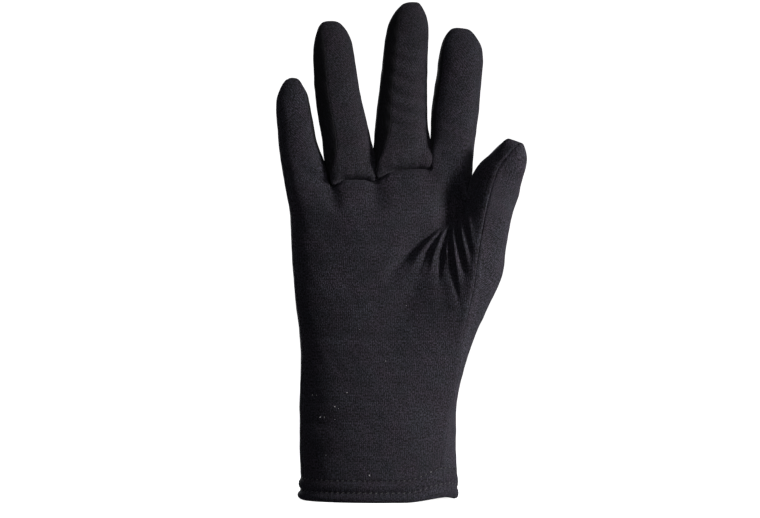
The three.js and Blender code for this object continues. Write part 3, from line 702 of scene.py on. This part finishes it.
def distance_to_line(seen, line):
    """Distance of each point from a broken line, and its place along it from 0 to 1."""
    line = np.array(line, float)
    lengths = np.linalg.norm(np.diff(line, axis=0), axis=1)
    total = lengths.sum()
    nearest = np.full(len(seen), 1e9)
    along = np.zeros(len(seen))
    done = 0.0
    for k, length in enumerate(lengths):
        direction = (line[k + 1] - line[k]) / length
        t = np.clip((seen - line[k]) @ direction, 0, length)
        away = np.linalg.norm(seen - line[k] - t[:, None] * direction, axis=1)
        closer = away < nearest
        nearest[closer] = away[closer]
        along[closer] = (done + t[closer]) / total
        done += length
    return nearest, along


def curved(line, steps=6):
    """A smooth line through a few points."""
    line = np.array(line, float)
    padded = np.vstack([2 * line[0] - line[1], line, 2 * line[-1] - line[-2]])
    out = []
    for k in range(1, len(padded) - 2):
        a, b, c, d = padded[k - 1:k + 3]
        for t in np.arange(steps) / steps:
            out.append(
                0.5 * (2 * b + (c - a) * t + (2 * a - 5 * b + 4 * c - d) * t**2 + (3 * b - a - 3 * c + d) * t**3)
            )
    return np.array(out + [line[-1]])


def fold_height(seen, folds, both_ends):
    """Height of all folds at points as seen; folds from the web are strong where they start."""
    height = np.zeros(len(seen))
    for line, rise, half, power in folds:
        bent = curved(line)
        reach = 4 * half
        low, high = bent.min(0) - reach, bent.max(0) + reach
        near = np.flatnonzero(np.all((seen > low) & (seen < high), axis=1))
        if not len(near):
            continue
        away, along = distance_to_line(seen[near], bent)
        profile = np.exp(-((away / half) ** power))
        if both_ends:
            ends = smooth(np.minimum(along, 1 - along) / 0.22 + 0.1)
        else:
            ends = smooth(along / 0.12 + 0.35) * smooth((1 - along) / 0.6)
        height[near] += rise * profile * ends
    return height


def waves(place, scale, seed):
    """A soft uneven field from -1 to 1, the same each run."""
    random = np.random.default_rng(seed)
    total = np.zeros(len(place))
    for _ in range(9):
        direction = random.normal(size=3)
        direction *= random.uniform(0.6, 1.5) / np.linalg.norm(direction) * TAU / scale
        total += np.sin(place @ direction + random.uniform(0, TAU))
    return total / 4


# Hem: heights of its two rows of stitches, and how far each is lifted at the thumb side's front
LOWER_STITCH = 4.9
UPPER_STITCH = 10.9
LIFT_STARTS = 13
LIFT_ENDS = 33
HEM_LIFTS = [(0, 1.9), (LOWER_STITCH, 4), (UPPER_STITCH, 5.7)]
LIFT_FADE = 45


def corner_share(place):
    """How far the hem's lifted corner reaches a point."""
    across = smooth((place[:, 0] - LIFT_STARTS) / (LIFT_ENDS - LIFT_STARTS))
    return across * smooth((4 - place[:, 1]) / 14)


def hem_lift(place):
    """How far a point of the hem or the sleeve is lifted."""
    heights, lifts = zip(*HEM_LIFTS)
    lift = np.interp(place[:, 2], heights, lifts)
    fade = 1 - smooth((place[:, 2] - UPPER_STITCH) / LIFT_FADE)
    return lift * fade * corner_share(place)


def seam_distances(place, seam_ids, reach):
    """Distance from each point to the nearest of the seam's points, up to a reach."""
    tree = KDTree(len(seam_ids))
    for k, seam_id in enumerate(seam_ids):
        tree.insert(place[seam_id], k)
    tree.balance()
    low, high = place[seam_ids].min(0) - reach, place[seam_ids].max(0) + reach
    away = np.full(len(place), 1e3)
    for k in np.flatnonzero(np.all((place > low) & (place < high), axis=1)):
        away[k] = tree.find(place[k])[2]
    return away


RELAX_ROUNDS = 120
TIP_SHARE = 0.3
# Each fingertip's middle, height and half width, and how far its shoulders drop
TIP_COLUMNS = ["x", "height", "half", "drop"]
TIPS = [[-42.9, 209, 7, 2.8], [-23.8, 237, 9.5, 1.9], [16.6, 245, 9.5, 1.9], [38.3, 233, 10, 1.9]]
TIP_RISE = 0.5
TIP_REACH = 12


def relaxed(place, quads, weight):
    """Points drawn towards the middle of their neighbours where the weight is over 0."""
    pairs = np.concatenate([np.stack([quads[:, k], quads[:, (k + 1) % 4]], 1) for k in range(4)])
    pairs = pairs[weight[pairs[:, 0]] > 0]
    moving = np.unique(pairs[:, 0])
    slot_of = np.zeros(len(place), int)
    slot_of[moving] = np.arange(len(moving))
    owner = slot_of[pairs[:, 0]]
    count = np.bincount(owner, minlength=len(moving))
    place = place.copy()
    for _ in range(RELAX_ROUNDS):
        sums = [np.bincount(owner, weights=place[pairs[:, 1], c], minlength=len(moving)) for c in range(3)]
        middle = np.stack(sums, 1) / count[:, None]
        place[moving] += 0.5 * weight[moving][:, None] * (middle - place[moving])
    return place


def relax_weight(place):
    """Where the cloth rounds off: round the thumb's base, and a little at the four fingertips."""
    x, z = place[:, 0], place[:, 2]
    thumb = smooth((x - 44) / 8) * smooth((z - 112) / 14) * smooth((164 - z) / 10)
    thumb = np.maximum(thumb, 0.5 * smooth((x - 50) / 6) * smooth((z - 168) / 6))
    tip_height = np.where(x < -32, 209, np.where(x < -4, 237, np.where(x < 26, 245, 233)))
    return np.maximum(thumb, TIP_SHARE * smooth((z - tip_height + 15) / 8))


def round_tips(place):
    """Domes the fingertips, whose seams would leave them flat."""
    place = place.copy()
    for row in TIPS:
        x, height, half, drop = row
        away = np.abs(place[:, 0] - x) / half
        near = smooth((1.9 - away) / 0.4) * smooth((place[:, 2] - height + TIP_REACH) / TIP_REACH)
        place[:, 2] += near * (TIP_RISE - drop * np.minimum(away, 1.15) ** 1.8)
    return place


def shaped(place, quads, panel):
    """The fine surface with its seams, creases, gathers and soft unevenness."""
    place = relaxed(place, quads, relax_weight(place))
    place = round_tips(place)
    normal = vertex_normals(place, quads)
    seen = as_seen(place)
    facing = smooth((-normal[:, 1] - 0.05) / 0.4)

    lowest = np.full(len(place), 99)
    highest = np.full(len(place), -1)
    for k in range(4):
        np.minimum.at(lowest, quads[:, k], panel)
        np.maximum.at(highest, quads[:, k], panel)
    seam = np.flatnonzero(lowest != highest)
    base_seam = np.flatnonzero((lowest == PALM) & ((highest == RING_FRONT) | (highest == MIDDLE_FRONT)))
    away = seam_distances(place, seam, 4)
    base_away = seam_distances(place, base_seam, 9)

    side_seam = np.flatnonzero((lowest != highest) & (highest >= FOURCHETTES[0]))
    side_away = seam_distances(place, side_seam, 8)
    thumb_seam = np.flatnonzero((lowest == PALM) & (highest == BACK) & (place[:, 0] > 0) & (normal[:, 1] < 0.3))
    thumb_away = seam_distances(place, thumb_seam, 30)
    pucker = 0.5 + 0.5 * np.sin(TAU * (place[:, 2] + 0.8 * place[:, 0]) / 3.2)
    on_side = side_away <= away + 0.01
    depth = np.where(on_side, 0.12, 0.3 + 0.25 * pucker)
    move = -depth * np.exp(-((away / 0.75) ** 2))
    move += np.where(on_side, 0, 0.08) * pucker * np.exp(-(((away - 1.5) / 0.9) ** 2))
    ridge_reach = np.where(highest == PALM, 11, 4.5)
    ridge_ends = smooth((place[:, 2] - 14) / 20) * smooth((170 - place[:, 2]) / 12)
    move += 2.3 * np.exp(-thumb_away / ridge_reach) * ridge_ends
    tip_height = np.where(place[:, 0] < -4, 236, np.where(place[:, 0] < 26, 245, 233))
    along_side = smooth((place[:, 2] - 156) / 12) * smooth((tip_height - 9 - place[:, 2]) / 12)
    move += 0.5 * np.exp(-side_away / 2.6) * facing * along_side

    finger = np.isin(highest, [RING_FRONT, MIDDLE_FRONT]) & (lowest == highest)
    over = base_away / 2.6
    rolled = 1.9 + 0.12 * np.sin(TAU * place[:, 0] / 5.3)
    move += np.where(finger, rolled * over * np.exp(1 - over), 0) * facing
    move -= 1.8 * np.exp(-((base_away / 1.1) ** 2)) * facing
    welt = np.exp(-(((base_away - 2.1) / 0.8) ** 2)) * (0.6 + 0.4 * np.sin(TAU * place[:, 0] / 4.1))
    move += np.where(~finger & (lowest == PALM), 0.55 * welt, 0) * facing

    move += 1.3 * facing * fold_height(seen, FOLDS, False)
    move += 0.8 * facing * fold_height(seen, SOFT_FOLDS, True)
    hollow = np.exp(-(((seen[:, 0] - 37.5) / 7) ** 2 + ((seen[:, 1] - 147) / 12) ** 2))
    pit = np.exp(-(((seen[:, 0] - 35.5) / 3.2) ** 2 + ((seen[:, 1] - 138.5) / 3.5) ** 2))
    move -= (8 * hollow + 2.6 * pit) * facing
    move += 0.28 * waves(place, 21, 3) + 0.09 * waves(place, 6.5, 4)

    moved = place + normal * move[:, None]
    moved[:, 2] += hem_lift(moved)
    moved[:, 2] -= (HEM_HEIGHT - UPPER_STITCH) * (1 - smooth((place[:, 2] - HEM_HEIGHT) / 25))
    return moved


# Turning arrays into pieces
def add_piece(name, place, polygons, material, replaced=None, knit=None):
    """A mesh object from points in millimetres, riding on the part's one body."""
    mesh = bpy.data.meshes.new(name)
    mesh.from_pydata((np.asarray(place) * MM).tolist(), [], [list(map(int, p)) for p in polygons])
    if knit is not None:
        layer = mesh.uv_layers.new(name="knit")
        layer.data.foreach_set("uv", np.asarray(knit, float).ravel())
    mesh.materials.append(material)
    mesh.shade_smooth()
    mesh.update()
    piece = bpy.data.objects.new(name, mesh)
    bpy.context.scene.collection.objects.link(piece)
    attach(piece, "root")
    if replaced:
        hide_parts(replaced)
    return piece


CLOTH = 0.9
FINE_LEVEL = 3
COARSE_LEVEL = 2


def border_edges(quads):
    """Edges with a face on one side only, as from-to pairs in the faces' direction."""
    pairs = np.concatenate([np.stack([quads[:, k], quads[:, (k + 1) % 4]], 1) for k in range(4)])
    known = {(int(a), int(b)) for a, b in pairs}
    return [(a, b) for a, b in known if (b, a) not in known]


def panel_piece(index, fine, coarse, inner_of, materials):
    """One panel of cloth: the fine outer face, a coarser inner face, and its edges turned in."""
    place, quads, knit, panel = fine
    coarse_quads, coarse_knit, coarse_panel = coarse
    outer = quads[panel == index]
    inner = coarse_quads[coarse_panel == index]
    used = np.unique(outer)
    number = {int(v): k for k, v in enumerate(used)}
    inner_used = np.unique(inner)
    inner_number = {int(v): len(used) + k for k, v in enumerate(inner_used)}
    places = np.vstack([place[used], inner_of[inner_used]])
    polygons = [[number[int(v)] for v in q] for q in outer]
    coordinates = list(knit[panel == index].reshape(-1, 2))
    for q, corner_knit in zip(inner, coarse_knit[coarse_panel == index]):
        polygons.append([inner_number[int(v)] for v in q[::-1]])
        coordinates.extend(corner_knit[::-1])
    at_corner = {}
    for q, corner_knit in zip(outer, knit[panel == index]):
        for v, value in zip(q, corner_knit):
            at_corner[int(v)] = value
    following = {}
    for a, b in border_edges(outer):
        following.setdefault(a, []).append(b)
    for a, b in border_edges(inner):
        between = [m for m in following.get(a, []) if b in following.get(m, [])]
        if not between:
            continue
        middle = between[0]
        for triangle in ([b, middle, (b,)], [middle, a, (a,)], [middle, (a,), (b,)]):
            corners = [t for t in triangle]
            polygons.append([inner_number[c[0]] if isinstance(c, tuple) else number[c] for c in corners])
            coordinates.extend(at_corner[c[0] if isinstance(c, tuple) else c] for c in corners)
    # The fourchettes take a far darker copy of the knit, which is mostly painted shade of the gaps between the fingers;
    # the ring and middle finger fronts take a darker copy, which is partly painted shade of the fingers.
    side = index in FOURCHETTES
    name = PANEL_NAMES[index]
    looks = {PALM: "palm", RING_FRONT: "front", MIDDLE_FRONT: "front"}
    material = materials["side_knit" if side else looks.get(index, "knit")]
    return add_piece(
        name + "_cloth", places, polygons, material, name, coordinates
    )


# Node helpers
def new_material(name):
    material = bpy.data.materials.new(name)
    material.use_nodes = True
    tree = material.node_tree
    tree.nodes.clear()
    output = tree.nodes.new("ShaderNodeOutputMaterial")
    shader = tree.nodes.new("ShaderNodeBsdfPrincipled")
    tree.links.new(shader.outputs["BSDF"], output.inputs["Surface"])
    return material, tree, shader


def math_node(tree, operation, first, second=None):
    node = tree.nodes.new("ShaderNodeMath")
    node.operation = operation
    for socket, value in zip(node.inputs, (first, second)):
        if value is None:
            continue
        if isinstance(value, (int, float)):
            socket.default_value = value
        else:
            tree.links.new(value, socket)
    return node.outputs[0]


def noise_node(tree, coordinates, scale, detail, stretch=(1, 1, 1), rough=0.55):
    mapping = tree.nodes.new("ShaderNodeMapping")
    mapping.inputs["Scale"].default_value = stretch
    tree.links.new(coordinates, mapping.inputs["Vector"])
    noise = tree.nodes.new("ShaderNodeTexNoise")
    noise.inputs["Scale"].default_value = scale
    noise.inputs["Detail"].default_value = detail
    noise.inputs["Roughness"].default_value = rough
    tree.links.new(mapping.outputs["Vector"], noise.inputs["Vector"])
    return noise.outputs["Fac"]


def ranged(tree, value, low, high, out_low, out_high):
    node = tree.nodes.new("ShaderNodeMapRange")
    for name, number in (("From Min", low), ("From Max", high), ("To Min", out_low), ("To Max", out_high)):
        node.inputs[name].default_value = number
    tree.links.new(value, node.inputs["Value"])
    return node.outputs["Result"]


def knit_material(name, colour, wale, course, fleck, sheen):
    """Fine jersey knit. wale and course are the stitch's width and height in millimetres."""
    material, tree, shader = new_material(name)
    uv = tree.nodes.new("ShaderNodeTexCoord").outputs["UV"]
    split = tree.nodes.new("ShaderNodeSeparateXYZ")
    tree.links.new(uv, split.inputs[0])
    wobble = math_node(tree, "MULTIPLY", math_node(tree, "SUBTRACT", noise_node(tree, uv, 0.22, 2), 0.5), 1.1)
    across = math_node(tree, "DIVIDE", math_node(tree, "ADD", split.outputs[0], wobble), wale)
    fraction = math_node(tree, "FRACT", across)
    from_middle = math_node(tree, "ABSOLUTE", math_node(tree, "SUBTRACT", fraction, 0.5))
    ridge = math_node(tree, "SINE", math_node(tree, "MULTIPLY", fraction, math.pi))
    up = math_node(tree, "ADD", math_node(tree, "DIVIDE", split.outputs[1], course), from_middle)
    loops = math_node(tree, "SINE", math_node(tree, "MULTIPLY", up, TAU))
    stitch = math_node(tree, "ADD", math_node(tree, "MULTIPLY", ridge, 0.6), math_node(tree, "MULTIPLY", loops, 0.22))

    speckle = noise_node(tree, uv, 1, 1.5, stretch=(1.7, 1.1, 1), rough=0.6)
    patches = noise_node(tree, uv, 0.05, 3)
    bands = noise_node(tree, uv, 1, 2, stretch=(0.02, 0.2, 1))
    streaks = noise_node(tree, uv, 1, 2, stretch=(0.75, 0.13, 1))

    value = math_node(tree, "MULTIPLY", ranged(tree, stitch, 0, 0.8, 0.5, 1.4), ranged(tree, speckle, 0.38, 0.64, 1 - fleck, 1 + 1.5 * fleck))
    value = math_node(tree, "MULTIPLY", value, ranged(tree, bands, 0.3, 0.7, 0.85, 1.15))
    value = math_node(tree, "MULTIPLY", value, ranged(tree, patches, 0.3, 0.7, 0.88, 1.12))
    value = math_node(tree, "MULTIPLY", value, ranged(tree, streaks, 0.3, 0.7, 0.88, 1.12))
    bright = noise_node(tree, uv, 1.9, 1)
    value = math_node(tree, "ADD", value, ranged(tree, bright, 0.66, 0.78, 0, 2))

    tint = tree.nodes.new("ShaderNodeMixRGB")
    tint.blend_type = "MIX"
    tint.inputs["Color1"].default_value = (*[c * t for c, t in zip(colour, (0.93, 1, 1.03))], 1)
    tint.inputs["Color2"].default_value = (*[c * t for c, t in zip(colour, (1.1, 0.96, 1.06))], 1)
    tree.links.new(ranged(tree, noise_node(tree, uv, 0.09, 2), 0.35, 0.65, 0, 1), tint.inputs["Fac"])
    shade = tree.nodes.new("ShaderNodeVectorMath")
    shade.operation = "SCALE"
    tree.links.new(tint.outputs["Color"], shade.inputs[0])
    tree.links.new(value, shade.inputs["Scale"])
    tree.links.new(shade.outputs["Vector"], shader.inputs["Base Color"])

    rough = ranged(tree, speckle, 0.3, 0.7, 0.78, 0.95)
    tree.links.new(rough, shader.inputs["Roughness"])
    shader.inputs["Specular IOR Level"].default_value = 0.22
    shader.inputs["Sheen Weight"].default_value = sheen
    shader.inputs["Sheen Roughness"].default_value = 0.45
    shader.inputs["Sheen Tint"].default_value = (0.8, 0.78, 0.95, 1)

    height = math_node(tree, "ADD", math_node(tree, "MULTIPLY", stitch, 0.12), math_node(tree, "MULTIPLY", speckle, 0.22))
    height = math_node(tree, "ADD", height, math_node(tree, "MULTIPLY", bands, 0.35))
    bump = tree.nodes.new("ShaderNodeBump")
    bump.inputs["Strength"].default_value = 0.7
    bump.inputs["Distance"].default_value = MM
    tree.links.new(height, bump.inputs["Height"])
    tree.links.new(bump.outputs["Normal"], shader.inputs["Normal"])
    return material


def thread_material(name, colour, spread_share):
    """Sewing thread or lint: twisted fibres, a little brighter in places."""
    material, tree, shader = new_material(name)
    place = tree.nodes.new("ShaderNodeTexCoord").outputs["Object"]
    fibre = noise_node(tree, place, 3200, 3, rough=0.7)
    shade = tree.nodes.new("ShaderNodeMixRGB")
    shade.inputs["Color1"].default_value = (*[c * (1 - spread_share) for c in colour], 1)
    shade.inputs["Color2"].default_value = (*[c * (1 + spread_share) for c in colour], 1)
    tree.links.new(ranged(tree, fibre, 0.3, 0.7, 0, 1), shade.inputs["Fac"])
    tree.links.new(shade.outputs["Color"], shader.inputs["Base Color"])
    shader.inputs["Roughness"].default_value = 0.7
    shader.inputs["Sheen Weight"].default_value = 0.3
    bump = tree.nodes.new("ShaderNodeBump")
    bump.inputs["Strength"].default_value = 0.4
    bump.inputs["Distance"].default_value = 0.1 * MM
    tree.links.new(fibre, bump.inputs["Height"])
    tree.links.new(bump.outputs["Normal"], shader.inputs["Normal"])
    return material


# Hem: the section of the folded cloth, height and distance out from the cuff's outline
HEM_SECTION = [
    (0.5, -2.1), (0, -1.3), (0.05, -0.4), (0.45, 0.5), (1.3, 1.15), (2.4, 1.35), (3.5, 1), (4.3, 0.35),
    (LOWER_STITCH, -0.15), (5.4, 0.2), (6.2, 0.7), (7.5, 1), (8.9, 0.85), (9.9, 0.45), (10.5, 0.05),
    (UPPER_STITCH, -0.25), (11.3, -0.7), (11, -1.5), (8, -1.9), (4, -2.2),
]
HEM_STEPS = 320
STITCH_PITCH = 2.7


def hem_outline(steps):
    """The cuff's outline at the hem: points and outward directions."""
    row = sample(SLEEVE_COLUMNS, SLEEVE_ROWS, 0)
    ring = np.array([sleeve_point(row, TAU * k / (4 * steps) ) for k in range(4 * steps)])
    arc = np.concatenate([[0], np.cumsum(np.linalg.norm(np.diff(np.vstack([ring, ring[:1]]), axis=0), axis=1))])
    wanted = np.arange(steps) / steps * arc[-1]
    closed = np.vstack([ring, ring[:1]])
    even = np.stack([np.interp(wanted, arc, closed[:, k]) for k in range(3)], 1)
    along = np.roll(even, -1, 0) - np.roll(even, 1, 0)
    outward = np.stack([along[:, 1], -along[:, 0], np.zeros(steps)], 1)
    return even, outward / np.linalg.norm(outward, axis=1)[:, None], arc[-1]


def hem_points(ring, outward, height, out, ripple=0.0):
    """A row of the hem at a height and a distance out, lifted at its corner."""
    leftness = 1 - 0.35 * ring[:, 0] / (CUFF_WIDTH / 2)
    distance = out * leftness if out > 0 else np.full(len(ring), out)
    place = ring + outward * (distance + ripple)[:, None] if np.ndim(ripple) else ring + outward * distance[:, None]
    place[:, 2] = height
    place[:, 2] += hem_lift(place)
    return place


def build_hem(material):
    ring, outward, length = hem_outline(HEM_STEPS)
    arc = np.arange(HEM_STEPS) / HEM_STEPS * length
    rows = []
    for height, out in HEM_SECTION:
        near = min(abs(height - LOWER_STITCH), abs(height - UPPER_STITCH))
        share = max(1 - near / 2.2, 0) if out > -0.6 else 0
        ripple = 0.16 * share * np.sin(TAU * arc / STITCH_PITCH) + 0.16 * waves(ring, 13, 8) * (out > -0.6)
        rows.append(hem_points(ring, outward, height, out, ripple))
    count = len(rows)
    place = np.concatenate(rows)
    polygons, knit = [], []
    travelled = np.concatenate([[0], np.cumsum(np.linalg.norm(np.diff(np.array(HEM_SECTION), axis=0), axis=1))])
    closing = travelled[-1] + 3.5
    for j in range(count):
        above = (j + 1) % count
        up_here, up_above = travelled[j], closing if above == 0 else travelled[above]
        for k in range(HEM_STEPS):
            after = (k + 1) % HEM_STEPS
            polygons.append([j * HEM_STEPS + k, j * HEM_STEPS + after, above * HEM_STEPS + after, above * HEM_STEPS + k])
            start, end = length * k / HEM_STEPS, length * (k + 1) / HEM_STEPS
            knit.extend([(start, up_here), (end, up_here), (end, up_above), (start, up_above)])
    return add_piece("cuff_hem_cloth", place, polygons, material, "cuff_hem", knit)


def bead(centre, along, out, length, width, height, steps=6, rings=4):
    """A small rounded stitch lying along a direction."""
    along = along / np.linalg.norm(along)
    out = out - along * (out @ along)
    out = out / np.linalg.norm(out)
    across = np.cross(along, out)
    place = [centre - along * length / 2]
    for r in range(1, rings):
        t = math.pi * r / rings
        for s in range(steps):
            a = TAU * s / steps
            place.append(
                centre - along * math.cos(t) * length / 2
                + math.sin(t) * (across * math.cos(a) * width / 2 + out * math.sin(a) * height / 2)
            )
    place.append(centre + along * length / 2)
    polygons = []
    last = len(place) - 1
    for s in range(steps):
        after = (s + 1) % steps
        polygons.append([0, 1 + after, 1 + s])
        polygons.append([last, last - steps + s, last - steps + after])
        for r in range(rings - 2):
            a, b = 1 + r * steps, 1 + (r + 1) * steps
            polygons.append([a + s, a + after, b + after, b + s])
    return place, polygons


def gather_beads(beads):
    place, polygons = [], []
    for bead_place, bead_polygons in beads:
        start = len(place)
        place.extend(bead_place)
        polygons.extend([[start + v for v in p] for p in bead_polygons])
    return np.array(place), polygons


def build_stitches(material):
    random = np.random.default_rng(11)
    beads = []
    for height, out, slant, length in ((LOWER_STITCH, 0.18, 0.35, 1.9), (UPPER_STITCH, 0.1, 0.15, 1.7)):
        count = int(hem_outline(8)[2] / STITCH_PITCH)
        ring, outward, _ = hem_outline(count)
        place = hem_points(ring, outward, height, out)
        ahead = np.roll(place, -1, 0) - place
        for k in range(count):
            along = ahead[k] / np.linalg.norm(ahead[k]) + np.array([0, 0, slant])
            beads.append(bead(place[k], along, outward[k], length * random.uniform(0.7, 1.05), 0.42, 0.36))
    place, polygons = gather_beads(beads)
    return add_piece("hem_stitches", place, polygons, material)


# Lint and two loose thread ends on the palm side: x, z as seen, and size
LINT = [
    (-32.4, 51.4, 0.5), (-30.6, 51.6, 0.35), (-15.6, 52.9, 0.55), (-21.5, 45.4, 0.5), (-19.6, 44.9, 0.3),
    (-28.9, 40.5, 0.5), (-27, 40.2, 0.3), (-21.4, 39.6, 0.35), (-4.5, 11.4, 0.6), (27.9, 8.9, 0.6),
    (-26, 22, 0.3), (3.5, 68, 0.35), (-9, 84, 0.3), (14, 96, 0.3),
]


def build_lint(place, normal, material):
    """Specks sit on the nearest point of the palm side's surface."""
    seen = as_seen(place)
    front = np.flatnonzero(normal[:, 1] < -0.3)
    random = np.random.default_rng(5)
    beads = []
    for x, z, size in LINT:
        k = front[np.argmin(np.linalg.norm(seen[front] - (x, z), axis=1))]
        along = random.normal(size=3)
        beads.append(bead(place[k] + normal[k] * 0.1, along, normal[k], size * 1.4, size * 0.8, size * 0.6))
    spots, polygons = gather_beads(beads)
    return add_piece("lint_specks", spots, polygons, material)


# Stage, lights and camera
FOCAL_LENGTH = 110.3
SENSOR_WIDTH = 36
KEY_PLACE = (0.88, -0.46, 0.32)
KEY_TARGET = (0.01, 0, 0.085)
KEY_SPREAD = 28
KEY_POWER = 0.6
EDGE_POWER = 0.36
FILL_POWER = 0.32
BACK_POWER = 1.1


def area_light(name, place, target, size, power, spread_angle, colour):
    light = bpy.data.lights.new(name, "AREA")
    light.shape = "DISK"
    light.spread = math.radians(spread_angle)
    light.size = size
    light.energy = power
    light.color = colour
    holder = bpy.data.objects.new(name, light)
    holder.location = place
    holder.rotation_euler = (Vector(target) - Vector(place)).to_track_quat("-Z", "Y").to_euler()
    bpy.context.scene.collection.objects.link(holder)


def dome_mesh(radius, rings=16, steps=32):
    """A closed round studio wall round everything."""
    place = [(0, 0, -radius)]
    for r in range(1, rings):
        t = math.pi * r / rings
        for k in range(steps):
            a = TAU * k / steps
            place.append((radius * math.sin(t) * math.cos(a), radius * math.sin(t) * math.sin(a), -radius * math.cos(t)))
    place.append((0, 0, radius))
    last = len(place) - 1
    polygons = []
    for k in range(steps):
        after = (k + 1) % steps
        polygons.append((0, 1 + k, 1 + after))
        polygons.append((last, last - steps + after, last - steps + k))
        for r in range(rings - 2):
            a, b = 1 + r * steps, 1 + (r + 1) * steps
            polygons.append((a + k, b + k, b + after, a + after))
    mesh = bpy.data.meshes.new("studio_wall")
    mesh.from_pydata(place, [], polygons)
    return mesh


def stage_material(name, tone, glow):
    """Matt pale paint that glows a little, as a lit sweep does."""
    material, tree, shader = new_material(name)
    place = tree.nodes.new("ShaderNodeTexCoord").outputs["Object"]
    mix = tree.nodes.new("ShaderNodeMixRGB")
    mix.inputs["Color1"].default_value = (tone * 0.98, tone * 0.98, tone * 0.985, 1)
    mix.inputs["Color2"].default_value = (tone, tone, tone, 1)
    tree.links.new(noise_node(tree, place, 3, 2), mix.inputs["Fac"])
    tree.links.new(mix.outputs["Color"], shader.inputs["Base Color"])
    shader.inputs["Roughness"].default_value = 0.9
    shader.inputs["Specular IOR Level"].default_value = 0.1
    shader.inputs["Emission Color"].default_value = (1, 1, 1, 1)
    shader.inputs["Emission Strength"].default_value = glow
    return material


STUDIO_RADIUS = 7
SOFT_LIGHT_FROM = (0.82, -0.42, 0.39)
SOFT_LIGHT_LOW = 0.03
SOFT_LIGHT_HIGH = 0.36


def build_world():
    """Soft light that comes mostly from the front right and above."""
    world = bpy.data.worlds.new("studio")
    world.use_nodes = True
    tree = world.node_tree
    direction = tree.nodes.new("ShaderNodeTexCoord").outputs["Generated"]
    dot = tree.nodes.new("ShaderNodeVectorMath")
    dot.operation = "DOT_PRODUCT"
    tree.links.new(direction, dot.inputs[0])
    dot.inputs[1].default_value = SOFT_LIGHT_FROM
    strength = ranged(tree, dot.outputs["Value"], -0.2, 1, SOFT_LIGHT_LOW, SOFT_LIGHT_HIGH)
    background = tree.nodes["Background"]
    background.inputs["Color"].default_value = (0.96, 0.97, 1, 1)
    tree.links.new(strength, background.inputs["Strength"])
    bpy.context.scene.world = world


def build_stage():
    """A white floor and wall that the camera sees, and that throw no light back on the cloth."""
    half = STUDIO_RADIUS
    floor_mesh = bpy.data.meshes.new("floor")
    floor_mesh.from_pydata([(-half, -half, 0), (half, -half, 0), (half, half, 0), (-half, half, 0)], [], [(0, 1, 2, 3)])
    floor_mesh.materials.append(stage_material("pale_floor", 0.86, 0.95))
    wall_mesh = dome_mesh(STUDIO_RADIUS * 0.98)
    wall_mesh.materials.append(stage_material("pale_wall", 0.86, 1.0))
    for name, mesh in (("floor", floor_mesh), ("studio_wall", wall_mesh)):
        holder = bpy.data.objects.new(name, mesh)
        bpy.context.scene.collection.objects.link(holder)
        holder.visible_diffuse = False
        holder.visible_glossy = False
        holder.visible_shadow = False

    build_world()
    area_light("key", KEY_PLACE, KEY_TARGET, 0.3, KEY_POWER, KEY_SPREAD, (1, 0.985, 0.97))
    area_light("edge", (1.0, 0.3, 0.3), (0, 0, 0.1), 0.5, EDGE_POWER, 180, (0.97, 0.97, 1))
    area_light("fill", (-0.45, -1.3, 0.3), (0, 0, 0.1), 0.9, FILL_POWER, 60, (0.93, 0.97, 1))
    area_light("back", (-0.4, 1.3, 0.35), (0, 0, 0.12), 0.8, BACK_POWER, 60, (0.95, 0.98, 1))

    camera = bpy.data.cameras.new("camera")
    camera.sensor_width = SENSOR_WIDTH
    camera.lens = FOCAL_LENGTH
    camera.clip_start = 0.05
    camera.clip_end = 50
    holder = bpy.data.objects.new("camera", camera)
    holder.location = (CAMERA_X * MM, -CAMERA_DISTANCE * MM, CAMERA_Z * MM)
    holder.rotation_euler = (math.pi / 2, 0, 0)
    bpy.context.scene.collection.objects.link(holder)
    bpy.context.scene.camera = holder
    bpy.context.scene.view_settings.view_transform = "Standard"


def build_glove():
    build_cage()
    places = fitted_cage()
    fine_place, quads, knit, panel = subdivided(places, FINE_LEVEL)
    coarse_place, coarse_quads, coarse_knit, coarse_panel = subdivided(places, COARSE_LEVEL)
    turn = np.array([
        [math.cos(BACK_GRAIN), math.sin(BACK_GRAIN)],
        [-math.sin(BACK_GRAIN), math.cos(BACK_GRAIN)],
    ])
    knit[panel == BACK] = knit[panel == BACK] @ turn
    coarse_knit[coarse_panel == BACK] = coarse_knit[coarse_panel == BACK] @ turn

    tree = KDTree(len(fine_place))
    for k, p in enumerate(fine_place):
        tree.insert(p, k)
    tree.balance()
    found = [tree.find(p) for p in coarse_place]
    fine_of = np.array([f[1] for f in found])

    surface = shaped(fine_place, quads, panel)
    normal = vertex_normals(surface, quads)
    inner_all = surface - CLOTH * normal
    # Four copies of one knit, with shades set panel by panel: the back panel's is lightest, then the palm's; the ring
    # and middle finger fronts' is darker, partly painted shade; the fourchettes' is far darker, mostly painted shade.
    materials = {
        "palm": knit_material("palm_knit", (0.0122, 0.0112, 0.0152), 0.95, 0.8, 1.0, 0.05),
        # The ring and middle finger fronts' copy: darker than the palm's, partly painted shade of the fingers.
        "front": knit_material("front_knit_painted_shade", (0.0112, 0.0101, 0.0134), 0.95, 0.8, 1.0, 0.05),
        "knit": knit_material("dark_knit", (0.0152, 0.0138, 0.0184), 0.95, 0.8, 1.0, 0.05),
        # The fourchettes' copy: far darker than the others, mostly painted shade of the gaps between the fingers.
        "side_knit": knit_material("side_knit", (0.005, 0.0046, 0.006), 0.95, 0.8, 0.8, 0.02),
    }
    fine = (surface, quads, knit, panel)
    coarse = (fine_of[coarse_quads], coarse_knit, coarse_panel)
    for index in range(len(PANEL_NAMES)):
        panel_piece(index, fine, coarse, inner_all, materials)
    build_hem(materials["palm"])
    build_stitches(thread_material("sewing_thread", (0.0085, 0.008, 0.01), 0.5))
    build_lint(surface, normal, thread_material("lint", (0.35, 0.34, 0.36), 0.3))


build_glove()
build_stage()
